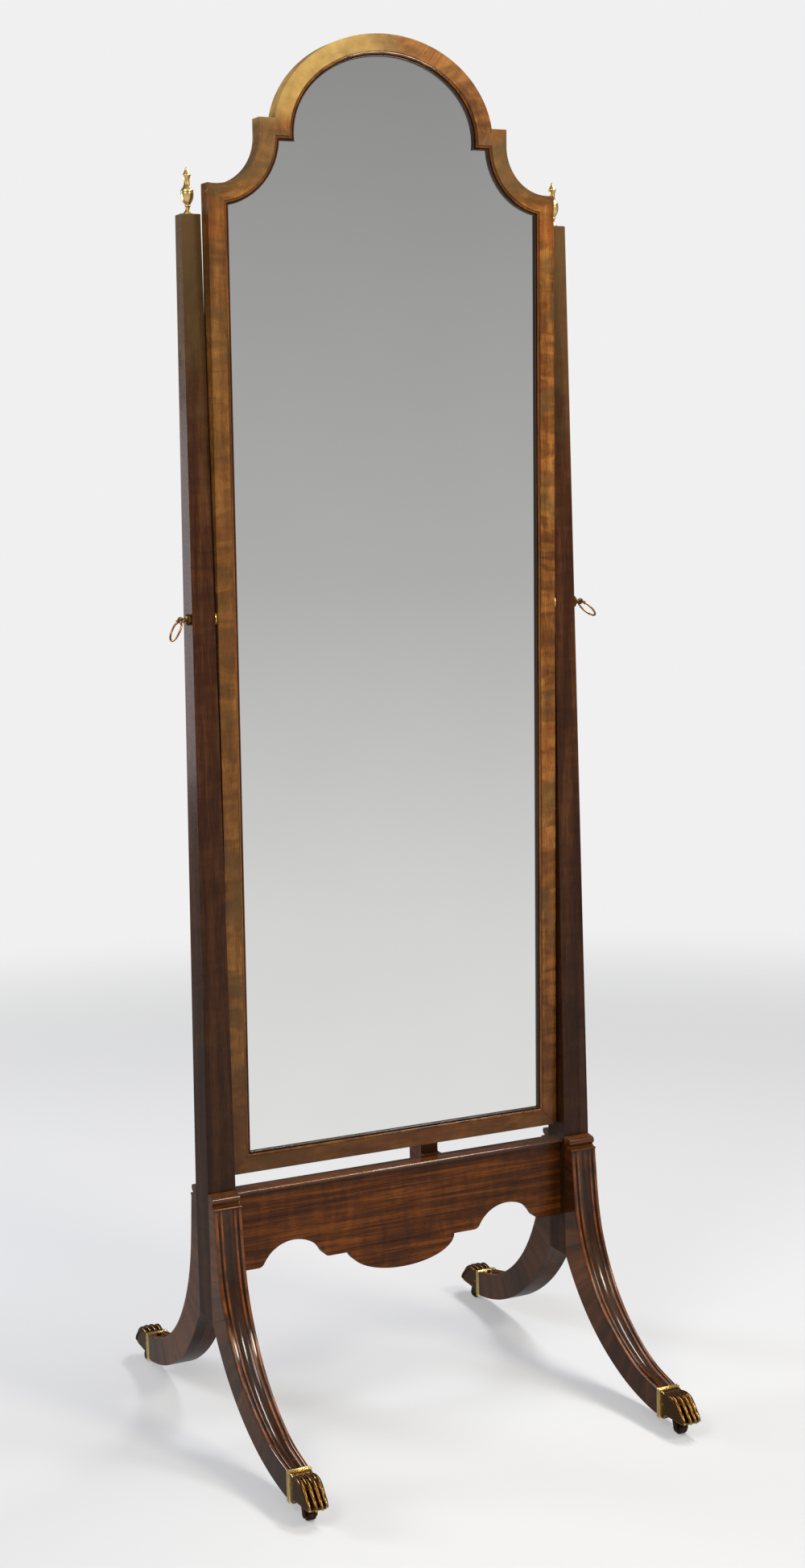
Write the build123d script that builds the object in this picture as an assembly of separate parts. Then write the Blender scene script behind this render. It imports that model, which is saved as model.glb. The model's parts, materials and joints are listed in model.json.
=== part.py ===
from build123d import *
from math import atan2, cos, degrees, hypot, radians, sin, sqrt
import os

# Pivot and fits, in millimetres
pivot_height = 1016.0
pivot_depth = -8.0
fit_gap = 0.1
running_gap = 0.05

# Uprights: the inner faces are plumb, the other three taper upwards
inner_half_gap = 231.5
upright_top = 1486.5
upright_top_width = 24.0
upright_top_depth = 20.0
upright_base_width = 36.0
upright_base_depth = 43.0
upright_arris = 1.0
crotch_height = 155.0

# Apron board: a drooping middle lobe between two round bites
apron_front = -9.0
apron_thickness = 16.0
apron_top = 304.5
apron_height = 97.0
lobe_half_width = 73.5
lobe_drop = 31.5
bite_radius = 46.0
bite_from_upright = 80.5
bite_centre_drop = 17.0
bite_corner_radius = 9.0
tenon_length = 20.0
tenon_thickness = 8.0
tenon_shoulder = 14.5
tenon_height = 50.0

# Capping along the top of the apron
capping_height = 7.5
capping_overhang = 7.9
nose_radius = 2.0
capping_step = 1.5
capping_step_back = 1.9
capping_fillet_back = 5.4

# Sabre legs: both faces are arcs in the side view
leg_top_drop = 5.0
leg_top_depth = 19.5
neck_drop = 49.5
neck_depth = 24.8
leg_run = 218.5
ankle_high = 49.2
ankle_low = 15.5
ankle_width = 27.5
face_radius = 221.5
under_radius = 283.0
leg_root_inset = 13.5
leg_spans = 7
cut_margin = 5.0

# Moulding across the upper face of a leg
bead_width = 5.0
quirk_width = 2.0
reed_width = 4.0
quirk_depth = 2.2
reed_drop = 0.5
hollow_depth = 4.2

# Roll moulding on top of each leg
cap_bead_radius = 1.5
cap_cove_inset = 3.0
cap_cove_bow = 0.7
cap_roll_inset = 8.5
cap_roll_radius = 4.4
cap_roll_rise = 10.9
cap_back_rise = 17.0

# Dowels that hold a leg to its upright
dowel_diameter = 8.0
dowel_length = 30.0
dowel_rises = (40.0, 117.0)

# Stop block behind the bottom rail
stop_centre = 53.0
stop_width = 24.0
stop_drop = 42.5
stop_lap = 15.0
stop_depth = 45.0
stop_clearance = 0.4
stop_screw_drops = (30.5, 11.5)
stop_screw_diameter = 4.0
stop_screw_head = 8.0
stop_screw_head_height = 3.0
stop_screw_bite = 10.0
stop_counterbore = 22.0

# Mirror frame, upright before it is tipped to its rest angle
side_gap = 2.5
frame_gap = 18.0
frame_side_height = 1267.0
frame_thickness = 22.0
member_width = 20.0
rest_tilt = 1.2
shoulder_flat = 9.0
cove_radius = 57.0
ear_height = 20.0
ear_step = 18.7
arch_drop = 17.0
arch_rise = 120.0
lip_depth = 5.7
rebate_width = 6.0
glass_gap = 1.0
glass_thickness = 4.0
backboard_thickness = 6.0
backboard_set_in = 1.0
backboard_gap = 0.4

# Slip round the glass: a bead, a quirk and a lower bead
slip_bead = 3.2
slip_quirk = 0.7
slip_inner_bead = 2.1
slip_set_back = 0.8
slip_inner_set_back = 2.4
slip_quirk_set_back = 3.4

# Small blocks that press the glass to the front of its rebate
block_length = 30.0
block_width = 4.5
block_rises = (130.0, 410.0, 910.0, 1090.0)

# Backboard screws along both stiles
board_screw_rises = (50.0, 270.0, 490.0, 890.0, 1110.0)
board_screw_diameter = 3.0
board_screw_head = 6.0
board_screw_head_height = 2.0
board_screw_edge = 4.5

# Brass plates let into the stiles
plate_length = 60.0
plate_width = 16.0
plate_thickness = 3.0
plate_screw_offset = 20.0
plate_screw_diameter = 3.5
plate_screw_head = 6.5
plate_screw_length = 11.0
plate_screw_head_height = 2.0

# Pivot screws: shaft, faceted boss, neck and eye
shaft_diameter = 6.0
shaft_inset = 11.0
shaft_clearance = 0.3
washer_diameter = 18.0
washer_clearance = 0.5
boss_diameter = 15.0
boss_base_share = 0.86
boss_top_share = 0.62
boss_depth = 5.2
boss_sides = 8
boss_gap = 0.3
neck_diameter = 6.0
neck_length = 6.9
eye_radius = 3.9
eye_thickness = 4.0
eye_clearance = 0.45

# Ring handles with two pointed collars each
ring_radius = 13.4
ring_stock = 2.4
ring_lean_left = 26.0
ring_lean_right = 45.0
collar_turn = 20.0
collar_radius = 2.1
collar_length = 2.2
spur_length = 3.1
spur_radius = 1.3
spur_tip_radius = 0.5

# Finials: radii and heights above the upright
finial_foot_radius = 5.8
finial_foot_height = 3.3
finial_stem_radius = 2.5
finial_stem_height = 8.8
finial_bowl_height = 11.8
finial_bowl_radius = 3.6
finial_body_radius = 7.5
finial_body_height = 19.0
finial_groove_height = 25.2
finial_groove = 0.8
finial_shoulder_height = 27.2
finial_neck_radius = 3.3
finial_neck_height = 37.5
finial_disc_radius = 5.0
finial_disc_height = 44.6
finial_disc_thickness = 2.4
finial_height = 53.8
finial_peg_diameter = 5.0
finial_peg_length = 14.0

# Brass paw caps
paw_length = 66.0
paw_half_width = 13.7
paw_skirt = 2.5
paw_inset = 0.8
collar_length_over_leg = 6.5
collar_band = 2.5
collar_relief = 1.4
heel_length = 11.5
sole_length = 17.5
core_inset = 0.8
core_nose = 8.0
toe_count = 4
toe_width = 6.4
outer_toe_set_back = 3.5
knuckle_run = 18.0
knuckle_end = 33.0
knuckle_rise = 1.8
knuckle_fall = 4.0
web_drop = 3.0
peg_width = 18.0
peg_length = 22.0
peg_margin = 6.5
pin_diameter = 3.0
pin_length = 4.4
pin_proud = 0.2
pin_set_in = 11.5

# Casters
caster_set_in = 28.5
caster_trail = 3.0
wheel_diameter = 16.0
wheel_width = 11.0
wheel_round = 1.8
wheel_gap = 1.2
axle_diameter = 3.0
fork_side_gap = 0.4
fork_side = 2.0
fork_crown = 2.0
fork_crown_gap = 0.4
fork_half_depth = 4.6
stem_diameter = 6.0
stem_length = 15.0

# Places that follow from the sizes above
upright_centre = inner_half_gap + upright_base_width / 2
outer_face = inner_half_gap + upright_base_width
upright_top_centre = inner_half_gap + upright_top_width / 2
joint_reach = upright_base_depth / 2
apron_back = apron_front + apron_thickness
apron_low = apron_top - apron_height
apron_middle = apron_front + apron_thickness / 2
bite_reach = inner_half_gap - bite_from_upright
bite_centre_height = apron_low - bite_centre_drop
tenon_high = apron_top - tenon_shoulder
tenon_low = tenon_high - tenon_height
capping_top = apron_top + capping_height
capping_front = apron_front - capping_overhang
leg_top = apron_top - leg_top_drop
leg_top_reach = joint_reach + leg_top_depth
neck_reach = joint_reach + neck_depth
neck_height = leg_top - neck_drop
leg_end_reach = joint_reach + leg_run
dowel_heights = [crotch_height + rise for rise in dowel_rises]
stop_back = apron_back + stop_depth
stop_low = apron_top - stop_drop
stop_screw_heights = [apron_top - drop for drop in stop_screw_drops]
frame_half_width = inner_half_gap - side_gap
frame_low = capping_top + frame_gap
frame_front = pivot_depth - frame_thickness / 2
frame_back = frame_front + frame_thickness
ear_top = frame_low + frame_side_height
cove_centre_reach = frame_half_width - shoulder_flat
cove_centre_height = ear_top - ear_height
arch_half_width = cove_centre_reach - cove_radius - ear_step
arch_centre_height = ear_top - arch_drop
glass_front = frame_front + lip_depth
glass_back = glass_front + glass_thickness
rebate_inset = member_width - rebate_width
board_back = frame_back - backboard_set_in
board_front = board_back - backboard_thickness
washer_thickness = side_gap - washer_clearance
taper_share = (pivot_height - capping_top) / (upright_top - capping_top)
pivot_face = outer_face + (upright_top_width - upright_base_width) * taper_share
boss_start = pivot_face + boss_gap
boss_end = boss_start + boss_depth
eye_reach = boss_end + neck_length
paw_low = ankle_low - paw_skirt
paw_high = ankle_high - paw_inset
collar_reach = leg_end_reach + collar_length_over_leg
toe_reach = leg_end_reach + paw_length
sole_height = wheel_diameter + wheel_gap + fork_crown + fork_crown_gap
peg_low = ankle_low + peg_margin
peg_high = ankle_high - peg_margin
pin_reach = leg_end_reach + pin_set_in
pin_height = (ankle_low + ankle_high) / 2
caster_reach = leg_end_reach + caster_set_in
wheel_radius = wheel_diameter / 2
wheel_reach = caster_reach + caster_trail


def save(shape, name):
    export_step(shape, f"parts/{name}.step")


def box(low, high):
    size = [high[i] - low[i] for i in range(3)]
    middle = [(high[i] + low[i]) / 2 for i in range(3)]
    return Pos(*middle) * Box(*size)


def rod_x(x_from, x_to, y, z, diameter):
    middle = Pos((x_from + x_to) / 2, y, z)
    return middle * Rot(0, 90, 0) * Cylinder(diameter / 2, abs(x_to - x_from))


def rod_y(y_from, y_to, x, z, diameter):
    middle = Pos(x, (y_from + y_to) / 2, z)
    return middle * Rot(90, 0, 0) * Cylinder(diameter / 2, abs(y_to - y_from))


def rod_z(z_from, z_to, x, y, diameter):
    return Pos(x, y, (z_from + z_to) / 2) * Cylinder(diameter / 2, abs(z_to - z_from))


def side_solid(face, x_from, x_to):
    return extrude(Plane.YZ.offset(x_from) * face, x_to - x_from)


def front_solid(face, y_from, y_to):
    return extrude(Plane.XZ.offset(-y_from) * face, y_from - y_to)


def polygon(*points):
    return make_face(Polyline(*points, close=True))


def to_left(shape):
    return mirror(shape, about=Plane.YZ)


def to_back(shape):
    return mirror(shape, about=Plane.XZ)


def group(shapes):
    return Compound([solid for shape in shapes for solid in shape.solids()])


# Uprights
def dowel_rods(diameter, length):
    rods = []
    for height in dowel_heights:
        start = joint_reach - length / 2
        rods.append(rod_y(start, start + length, upright_centre, height, diameter))
        rods.append(rod_y(-start - length, -start, upright_centre, height, diameter))
    return rods


def make_upright():
    base = Plane.XY.offset(capping_top) * Pos(upright_centre, 0)
    top = Plane.XY.offset(upright_top) * Pos(upright_top_centre, 0)
    shaft = loft(
        [
            base * Rectangle(upright_base_width, upright_base_depth),
            top * Rectangle(upright_top_width, upright_top_depth),
        ]
    )
    shaft = fillet(shaft.faces().sort_by(Axis.Z)[-1].edges(), upright_arris)
    foot = box(
        (inner_half_gap, -joint_reach, crotch_height),
        (outer_face, joint_reach, capping_top),
    )
    body = shaft + foot
    body -= rod_x(
        inner_half_gap - 1, outer_face + 1, pivot_depth, pivot_height,
        shaft_diameter + 2 * running_gap,
    )
    body -= rod_z(
        upright_top - finial_peg_length - 1, upright_top + 1,
        upright_top_centre, 0, finial_peg_diameter + 2 * fit_gap,
    )
    half_tenon = tenon_thickness / 2 + fit_gap
    body -= box(
        (inner_half_gap - 1, apron_middle - half_tenon, tenon_low - fit_gap),
        (
            inner_half_gap + tenon_length + 1,
            apron_middle + half_tenon,
            tenon_high + fit_gap,
        ),
    )
    for rod in dowel_rods(dowel_diameter + 2 * fit_gap, dowel_length + 2):
        body -= rod
    return body


# Legs
def arc_centre(start, end, radius):
    """Centre of the arc through two points of the side view, above the chord."""
    run, rise = end[0] - start[0], end[1] - start[1]
    chord = hypot(run, rise)
    lift = sqrt(radius**2 - (chord / 2) ** 2) / chord
    middle = (start[0] + end[0]) / 2, (start[1] + end[1]) / 2
    return middle[0] - lift * rise, middle[1] + lift * run


def arc_angle(centre, point):
    return atan2(centre[1] - point[1], centre[0] - point[0])


def arc_point(centre, radius, angle):
    return centre[0] - radius * cos(angle), centre[1] - radius * sin(angle)


def between(low, high, share):
    return low + share * (high - low)


def leg_section(upper, lower, width):
    rise = Vector(0, upper[0] - lower[0], upper[1] - lower[1])
    plane = Plane(
        origin=(upright_centre, upper[0], upper[1]),
        x_dir=(1, 0, 0),
        z_dir=Vector(1, 0, 0).cross(rise),
    )
    scale = width / upright_base_width
    half = width / 2
    bead_end = half - bead_width * scale
    reed_start = bead_end - quirk_width * scale
    reed_end = reed_start - reed_width * scale
    bead_middle = (half + bead_end) / 2
    reed_middle = (reed_start + reed_end) / 2
    low = -quirk_depth
    outline = Curve() + [
        Line((-half, -rise.length), (-half, low)),
        ThreePointArc((-half, low), (-bead_middle, 0), (-bead_end, low)),
        Line((-bead_end, low), (-reed_start, low)),
        ThreePointArc((-reed_start, low), (-reed_middle, -reed_drop), (-reed_end, low)),
        ThreePointArc((-reed_end, low), (0, -hollow_depth), (reed_end, low)),
        ThreePointArc((reed_end, low), (reed_middle, -reed_drop), (reed_start, low)),
        Line((reed_start, low), (bead_end, low)),
        ThreePointArc((bead_end, low), (bead_middle, 0), (half, low)),
        Line((half, low), (half, -rise.length)),
        Line((half, -rise.length), (-half, -rise.length)),
    ]
    return plane * make_face(outline)


def leg_sections():
    root = joint_reach - leg_root_inset
    neck = (neck_reach, neck_height)
    crotch = (joint_reach, crotch_height)
    face_centre = arc_centre(neck, (leg_end_reach, ankle_high), face_radius)
    under_centre = arc_centre(crotch, (leg_end_reach, ankle_low), under_radius)
    root_height = under_centre[1] - sqrt(
        under_radius**2 - (under_centre[0] - root) ** 2
    )
    face_angles = [
        arc_angle(face_centre, point) for point in (neck, (leg_end_reach, ankle_high))
    ]
    under_angles = [
        arc_angle(under_centre, point)
        for point in ((root, root_height), (leg_end_reach, ankle_low))
    ]
    sections = []
    for share in (0, 1 / 2, 1):
        upper = (
            between(leg_top_reach, neck_reach, share),
            between(leg_top, neck_height, share),
        )
        lower = (root, between(leg_top, root_height, share * 2 / 3))
        sections.append(leg_section(upper, lower, upright_base_width))
    for step in range(1, leg_spans + 1):
        share = (step - 1) / (leg_spans - 1)
        face_angle = between(*face_angles, step / leg_spans)
        under_angle = between(*under_angles, share)
        sections.append(
            leg_section(
                arc_point(face_centre, face_radius, face_angle),
                arc_point(under_centre, under_radius, under_angle),
                between(upright_base_width, ankle_width, share**1.5),
            )
        )
    return sections


def make_leg():
    leg = loft(leg_sections())
    leg -= box(
        (
            inner_half_gap - cut_margin,
            joint_reach - leg_root_inset - cut_margin,
            0,
        ),
        (outer_face + cut_margin, joint_reach, leg_top + cut_margin),
    )
    leg += box(
        (upright_centre - peg_width / 2, leg_end_reach - cut_margin, peg_low),
        (upright_centre + peg_width / 2, leg_end_reach + peg_length, peg_high),
    )
    for rod in dowel_rods(dowel_diameter + 2 * fit_gap, dowel_length + 2):
        leg -= rod
    return leg


def make_leg_cap():
    bead_top = leg_top + 2 * cap_bead_radius
    bead_edge = leg_top_reach - cap_bead_radius
    cove_edge = leg_top_reach - cap_cove_inset
    roll_reach = leg_top_reach - cap_roll_inset
    roll_middle = leg_top + cap_roll_rise
    roll_low = roll_middle - cap_roll_radius
    roll_top = roll_middle + cap_roll_radius
    cove_middle = (
        (cove_edge + roll_reach) / 2 - cap_cove_bow,
        (bead_top + roll_low) / 2 - cap_cove_bow,
    )
    outline = Curve() + [
        Line((joint_reach, leg_top), (bead_edge, leg_top)),
        ThreePointArc(
            (bead_edge, leg_top),
            (leg_top_reach, leg_top + cap_bead_radius),
            (bead_edge, bead_top),
        ),
        Line((bead_edge, bead_top), (cove_edge, bead_top)),
        ThreePointArc((cove_edge, bead_top), cove_middle, (roll_reach, roll_low)),
        ThreePointArc(
            (roll_reach, roll_low),
            (roll_reach + cap_roll_radius, roll_middle),
            (roll_reach, roll_top),
        ),
        Line((roll_reach, roll_top), (joint_reach, leg_top + cap_back_rise)),
        Line((joint_reach, leg_top + cap_back_rise), (joint_reach, leg_top)),
    ]
    return side_solid(make_face(outline), inner_half_gap, outer_face)


# Apron, capping and stop block
def make_apron():
    face = Pos(0, (apron_low + apron_top) / 2) * Rectangle(
        2 * inner_half_gap, apron_top - apron_low
    )
    face += Pos(0, apron_low) * Ellipse(lobe_half_width, lobe_drop)
    for side in (-1, 1):
        face -= Pos(side * bite_reach, bite_centre_height) * Circle(bite_radius)
    bite_half = sqrt(bite_radius**2 - (apron_low - bite_centre_height) ** 2)
    corners = [
        corner
        for corner in face.vertices()
        if abs(corner.Y - apron_low) < 0.01
        and abs(abs(abs(corner.X) - bite_reach) - bite_half) < 0.01
    ]
    face = fillet(corners, bite_corner_radius)
    board = front_solid(face, apron_front, apron_back)
    reach = inner_half_gap + tenon_length
    board += box(
        (-reach, apron_middle - tenon_thickness / 2, tenon_low),
        (reach, apron_middle + tenon_thickness / 2, tenon_high),
    )
    for height in stop_screw_heights:
        board -= rod_y(
            apron_back - stop_screw_bite - 1, apron_back + 1,
            stop_centre, height, stop_screw_diameter + 2 * fit_gap,
        )
    return board


def make_capping():
    nose_low = capping_top - 2 * nose_radius
    step_low = nose_low - capping_step
    step_front = capping_front + capping_step_back
    fillet_front = capping_front + capping_fillet_back
    outline = Curve() + [
        Polyline(
            (capping_front, nose_low),
            (step_front, nose_low),
            (step_front, step_low),
            (fillet_front, step_low),
            (fillet_front, apron_top),
            (apron_back, apron_top),
            (apron_back, capping_top),
            (capping_front, capping_top),
        ),
        ThreePointArc(
            (capping_front, capping_top),
            (capping_front - nose_radius, capping_top - nose_radius),
            (capping_front, nose_low),
        ),
    ]
    return side_solid(make_face(outline), -inner_half_gap, inner_half_gap)


def stop_face():
    tilt = radians(rest_tilt)
    low_back = pivot_depth + frame_thickness / 2 * cos(tilt)
    low_back += (pivot_height - frame_low) * sin(tilt)
    return low_back + stop_clearance


def make_stop_block():
    profile = polygon(
        (apron_back, stop_low),
        (stop_back, stop_low),
        (stop_back, frame_low + stop_lap),
        (stop_face(), frame_low + stop_lap),
        (stop_face(), capping_top),
        (apron_back, capping_top),
    )
    block = side_solid(profile, stop_centre - stop_width / 2, stop_centre + stop_width / 2)
    for height in stop_screw_heights:
        block -= rod_y(
            apron_back - 1, stop_back, stop_centre, height,
            stop_screw_diameter + 2 * fit_gap,
        )
        block -= rod_y(
            stop_back - stop_counterbore, stop_back + 1, stop_centre, height,
            stop_screw_head + 2 * fit_gap,
        )
    return block


def make_stop_screws():
    seat = stop_back - stop_counterbore
    screws = []
    for height in stop_screw_heights:
        shank = rod_y(
            apron_back - stop_screw_bite, seat, stop_centre, height, stop_screw_diameter
        )
        head = rod_y(
            seat, seat + stop_screw_head_height, stop_centre, height, stop_screw_head
        )
        screws.append(shank + head)
    return screws


# Mirror frame, whose pieces are all cut from one outline at several insets
def frame_face(inset):
    half = frame_half_width - inset
    low = frame_low + inset
    high = ear_top - inset
    radius = cove_radius + inset
    face = Pos(0, (low + high) / 2) * Rectangle(2 * half, high - low)
    for side in (-1, 1):
        face -= Pos(side * cove_centre_reach, cove_centre_height) * Circle(radius)
        if high > cove_centre_height:
            margin = 10.0
            face -= Pos(
                side * (cove_centre_reach - radius + (radius + margin) / 2),
                (cove_centre_height + high + margin) / 2,
            ) * Rectangle(radius + margin, high + margin - cove_centre_height)
    face += Pos(0, arch_centre_height) * Ellipse(
        arch_half_width - inset, arch_rise - inset
    )
    return face


def arch_corner(inset):
    height = ear_top - inset
    rise = (height - arch_centre_height) / (arch_rise - inset)
    return (arch_half_width - inset) * sqrt(1 - rise**2), height


def shoulder_corner(inset):
    half = frame_half_width - inset
    radius = cove_radius + inset
    across = max(cove_centre_reach - half, 0)
    return half, cove_centre_height - sqrt(radius**2 - across**2)


def beyond(inner, outer, reach):
    run = Vector(outer[0] - inner[0], outer[1] - inner[1]).normalized() * reach
    return (inner[0] - run.X, inner[1] - run.Y), (outer[0] + run.X, outer[1] + run.Y)


def frame_ring():
    lip = front_solid(frame_face(0) - frame_face(member_width), frame_front, glass_front)
    wall = front_solid(frame_face(0) - frame_face(rebate_inset), glass_front, frame_back)
    return lip + wall


def miter_regions():
    reach = 8.0
    foot = (frame_half_width, frame_low)
    foot_inner = (frame_half_width - member_width, frame_low + member_width)
    foot_in, foot_out = beyond(foot_inner, foot, reach)
    hip_in, hip_out = beyond(shoulder_corner(member_width), shoulder_corner(0), reach)
    ear_in, ear_out = beyond(arch_corner(member_width), arch_corner(0), reach)
    crown = arch_centre_height + arch_rise + reach
    side = frame_half_width + reach
    stile = polygon(foot_in, foot_out, hip_out, hip_in)
    shoulder = polygon(
        hip_in, hip_out, (side, ear_top + reach), ear_out, ear_in,
        (ear_in[0], hip_in[1] - reach),
    )
    arch = polygon(
        (0, arch_centre_height), ear_in, ear_out,
        (arch_half_width + reach, ear_top + 2 * reach),
        (arch_half_width + reach, crown), (0, crown),
    )
    rail = polygon(
        foot_in, foot_out, (-foot_out[0], foot_out[1]), (-foot_in[0], foot_in[1])
    )
    return {"stile": stile, "shoulder": shoulder, "arch": arch, "bottom_rail": rail}


def cut_piece(ring, region):
    return ring & front_solid(region, frame_front - 1, frame_back + 1)


def board_screw_places():
    reach = frame_half_width - rebate_inset - backboard_gap - board_screw_edge
    return [(reach, frame_low + rise) for rise in board_screw_rises]


def plate_block(proud):
    low = pivot_height - plate_length / 2
    return box(
        (frame_half_width - plate_thickness, pivot_depth - plate_width / 2, low),
        (frame_half_width + proud, pivot_depth + plate_width / 2, low + plate_length),
    )


def make_stile(ring, region):
    side = frame_half_width
    stile = cut_piece(ring, region) - plate_block(1)
    stile -= rod_x(
        side - shaft_inset - 1, side, pivot_depth, pivot_height,
        shaft_diameter + 2 * shaft_clearance,
    )
    for place in (-1, 1):
        stile -= rod_x(
            side - plate_screw_length - 0.5, side, pivot_depth,
            pivot_height + place * plate_screw_offset,
            plate_screw_diameter + 2 * fit_gap,
        )
    return stile


def make_plate():
    side = frame_half_width
    plate = plate_block(0)
    plate -= rod_x(
        side - plate_thickness - 1, side + 1, pivot_depth, pivot_height,
        shaft_diameter + 2 * running_gap,
    )
    for place in (-1, 1):
        height = pivot_height + place * plate_screw_offset
        plate -= rod_x(
            side - plate_thickness - 1, side + 1, pivot_depth, height,
            plate_screw_diameter + 2 * fit_gap,
        )
        plate -= rod_x(
            side - plate_screw_head_height, side + 1, pivot_depth, height,
            plate_screw_head + 2 * fit_gap,
        )
    return plate


def make_plate_screws():
    side = frame_half_width
    screws = []
    for place in (-1, 1):
        height = pivot_height + place * plate_screw_offset
        seat = side - plate_screw_head_height
        shank = rod_x(
            side - plate_screw_length, seat, pivot_depth, height, plate_screw_diameter
        )
        screw = shank + rod_x(seat, side, pivot_depth, height, plate_screw_head)
        screws += [screw, to_left(screw)]
    return screws


def make_slip():
    """Two beads with a quirk between them, stepped in section."""
    steps = (
        (slip_bead, slip_set_back),
        (slip_quirk, slip_quirk_set_back),
        (slip_inner_bead, slip_inner_set_back),
    )
    inset = member_width
    slip = None
    for width, set_back in steps:
        face = frame_face(inset) - frame_face(inset + width)
        band = front_solid(face, frame_front + set_back, glass_front)
        slip = slip + band if slip else band
        inset += width
    return slip


def make_glass():
    return front_solid(frame_face(rebate_inset + glass_gap), glass_front, glass_back)


def make_glass_blocks():
    edge = frame_half_width - rebate_inset
    blocks = []
    for rise in block_rises:
        low = frame_low + rise - block_length / 2
        block = box(
            (edge - block_width, glass_back, low),
            (edge, board_front, low + block_length),
        )
        blocks += [block, to_left(block)]
    return blocks


def make_backboard():
    board = front_solid(frame_face(rebate_inset + backboard_gap), board_front, board_back)
    for reach, height in board_screw_places():
        for side in (-1, 1):
            board -= rod_y(
                board_front - 1, board_back + 1, side * reach, height,
                board_screw_diameter + 2 * fit_gap,
            )
    return board


def make_board_screws():
    screws = []
    for reach, height in board_screw_places():
        shank = rod_y(board_front, board_back, reach, height, board_screw_diameter)
        head = rod_y(
            board_back, board_back + board_screw_head_height, reach, height,
            board_screw_head,
        )
        screw = shank + head
        screws += [screw, to_left(screw)]
    return screws


def tip(shape):
    return shape.rotate(Axis((0, pivot_depth, pivot_height), (1, 0, 0)), rest_tilt)


# Finials
def make_finial():
    peg_radius = finial_peg_diameter / 2
    groove_low = finial_groove_height - finial_groove / 2
    groove_high = finial_groove_height + finial_groove / 2
    disc_top = finial_disc_height + finial_disc_thickness
    bowl_middle = (
        finial_body_radius - finial_groove,
        (finial_bowl_height + finial_body_height) / 2 - finial_groove,
    )
    outline = Curve() + [
        Polyline(
            (0, finial_height),
            (0, -finial_peg_length),
            (peg_radius, -finial_peg_length),
            (peg_radius, 0),
            (finial_foot_radius, 0),
            (finial_foot_radius, finial_foot_height),
            (finial_stem_radius, finial_stem_height),
            (finial_bowl_radius, finial_bowl_height),
        ),
        ThreePointArc(
            (finial_bowl_radius, finial_bowl_height),
            bowl_middle,
            (finial_body_radius, finial_body_height),
        ),
        Polyline(
            (finial_body_radius, finial_body_height),
            (finial_body_radius, groove_low),
            (finial_body_radius - finial_groove, finial_groove_height),
            (finial_body_radius, groove_high),
            (finial_body_radius, finial_shoulder_height),
        ),
        Spline(
            (finial_body_radius, finial_shoulder_height),
            (finial_neck_radius, finial_neck_height),
            (finial_disc_radius, finial_disc_height),
            tangents=((0, 1), (1, 0.8)),
        ),
        Polyline(
            (finial_disc_radius, finial_disc_height),
            (finial_disc_radius, disc_top),
            (0, finial_height),
        ),
    ]
    turned = revolve(Plane.XZ * make_face(outline), Axis.Z)
    return Pos(upright_top_centre, 0, upright_top) * turned


# Pivot screws, washers and ring handles
def make_washer():
    return rod_x(
        inner_half_gap - washer_thickness, inner_half_gap,
        pivot_depth, pivot_height, washer_diameter,
    ) - rod_x(
        inner_half_gap - washer_thickness - 1, inner_half_gap + 1,
        pivot_depth, pivot_height, shaft_diameter + 2 * running_gap,
    )


def boss_part(low_share, high_share, low, high):
    plane = Plane(origin=(low, pivot_depth, pivot_height), x_dir=(0, 1, 0), z_dir=(1, 0, 0))
    radius = boss_diameter / 2
    return loft(
        [
            plane * RegularPolygon(radius * low_share, boss_sides),
            plane.offset(high - low) * RegularPolygon(radius * high_share, boss_sides),
        ],
        ruled=True,
    )


def make_pivot_screw():
    boss_middle = (boss_start + boss_end) / 2
    screw = rod_x(
        frame_half_width - shaft_inset, boss_middle, pivot_depth, pivot_height,
        shaft_diameter,
    )
    screw += boss_part(boss_base_share, 1, boss_start, boss_middle)
    screw += boss_part(1, boss_top_share, boss_middle, boss_end)
    half = eye_thickness / 2
    neck = rod_x(boss_middle, eye_reach, pivot_depth, pivot_height, neck_diameter)
    slab = box(
        (boss_middle, pivot_depth - half, pivot_height - eye_radius),
        (eye_reach, pivot_depth + half, pivot_height + eye_radius),
    )
    eye = rod_y(
        pivot_depth - half, pivot_depth + half, eye_reach, pivot_height, 2 * eye_radius
    )
    screw += (neck & slab) + eye
    screw -= rod_y(
        pivot_depth - half - 1, pivot_depth + half + 1, eye_reach, pivot_height,
        ring_stock + 2 * eye_clearance,
    )
    return screw


def make_ring(lean):
    middle = Pos(eye_reach, pivot_depth, pivot_height - ring_radius)
    ring = middle * Rot(0, 90, 0) * Torus(ring_radius, ring_stock / 2)
    for side in (-1, 1):
        collar = Rot(90, 0, 0) * Cylinder(collar_radius, collar_length)
        for turn in (0, 180):
            spur = Cone(spur_radius, spur_tip_radius, spur_length)
            collar += Rot(turn, 0, 0) * Pos(0, 0, collar_radius + spur_length / 2 - 1) * spur
        placed = Pos(0, 0, ring_radius) * collar
        ring += middle * Rot(side * collar_turn, 0, 0) * placed
    axis = Axis((eye_reach, pivot_depth, pivot_height), (0, 1, 0))
    return ring.rotate(axis, -lean)


# Paw caps, their pins and the casters
def make_toe(middle, back):
    radius = toe_width / 2
    knuckle = ThreePointArc(
        (collar_reach - 1, paw_high - radius),
        (collar_reach + knuckle_run, paw_high + knuckle_rise - radius),
        (collar_reach + knuckle_end - back, paw_high - knuckle_fall - radius),
    )
    end = (toe_reach - radius - back, sole_height + radius)
    drop = TangentArc(knuckle @ 1, end, tangent=knuckle % 1)
    path = Plane.YZ.offset(middle) * (knuckle + drop)
    start = Plane(origin=path @ 0, z_dir=path % 0)
    toe = sweep(start * Circle(radius), path=path)
    return toe + Pos(middle, *end) * Sphere(radius)


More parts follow.
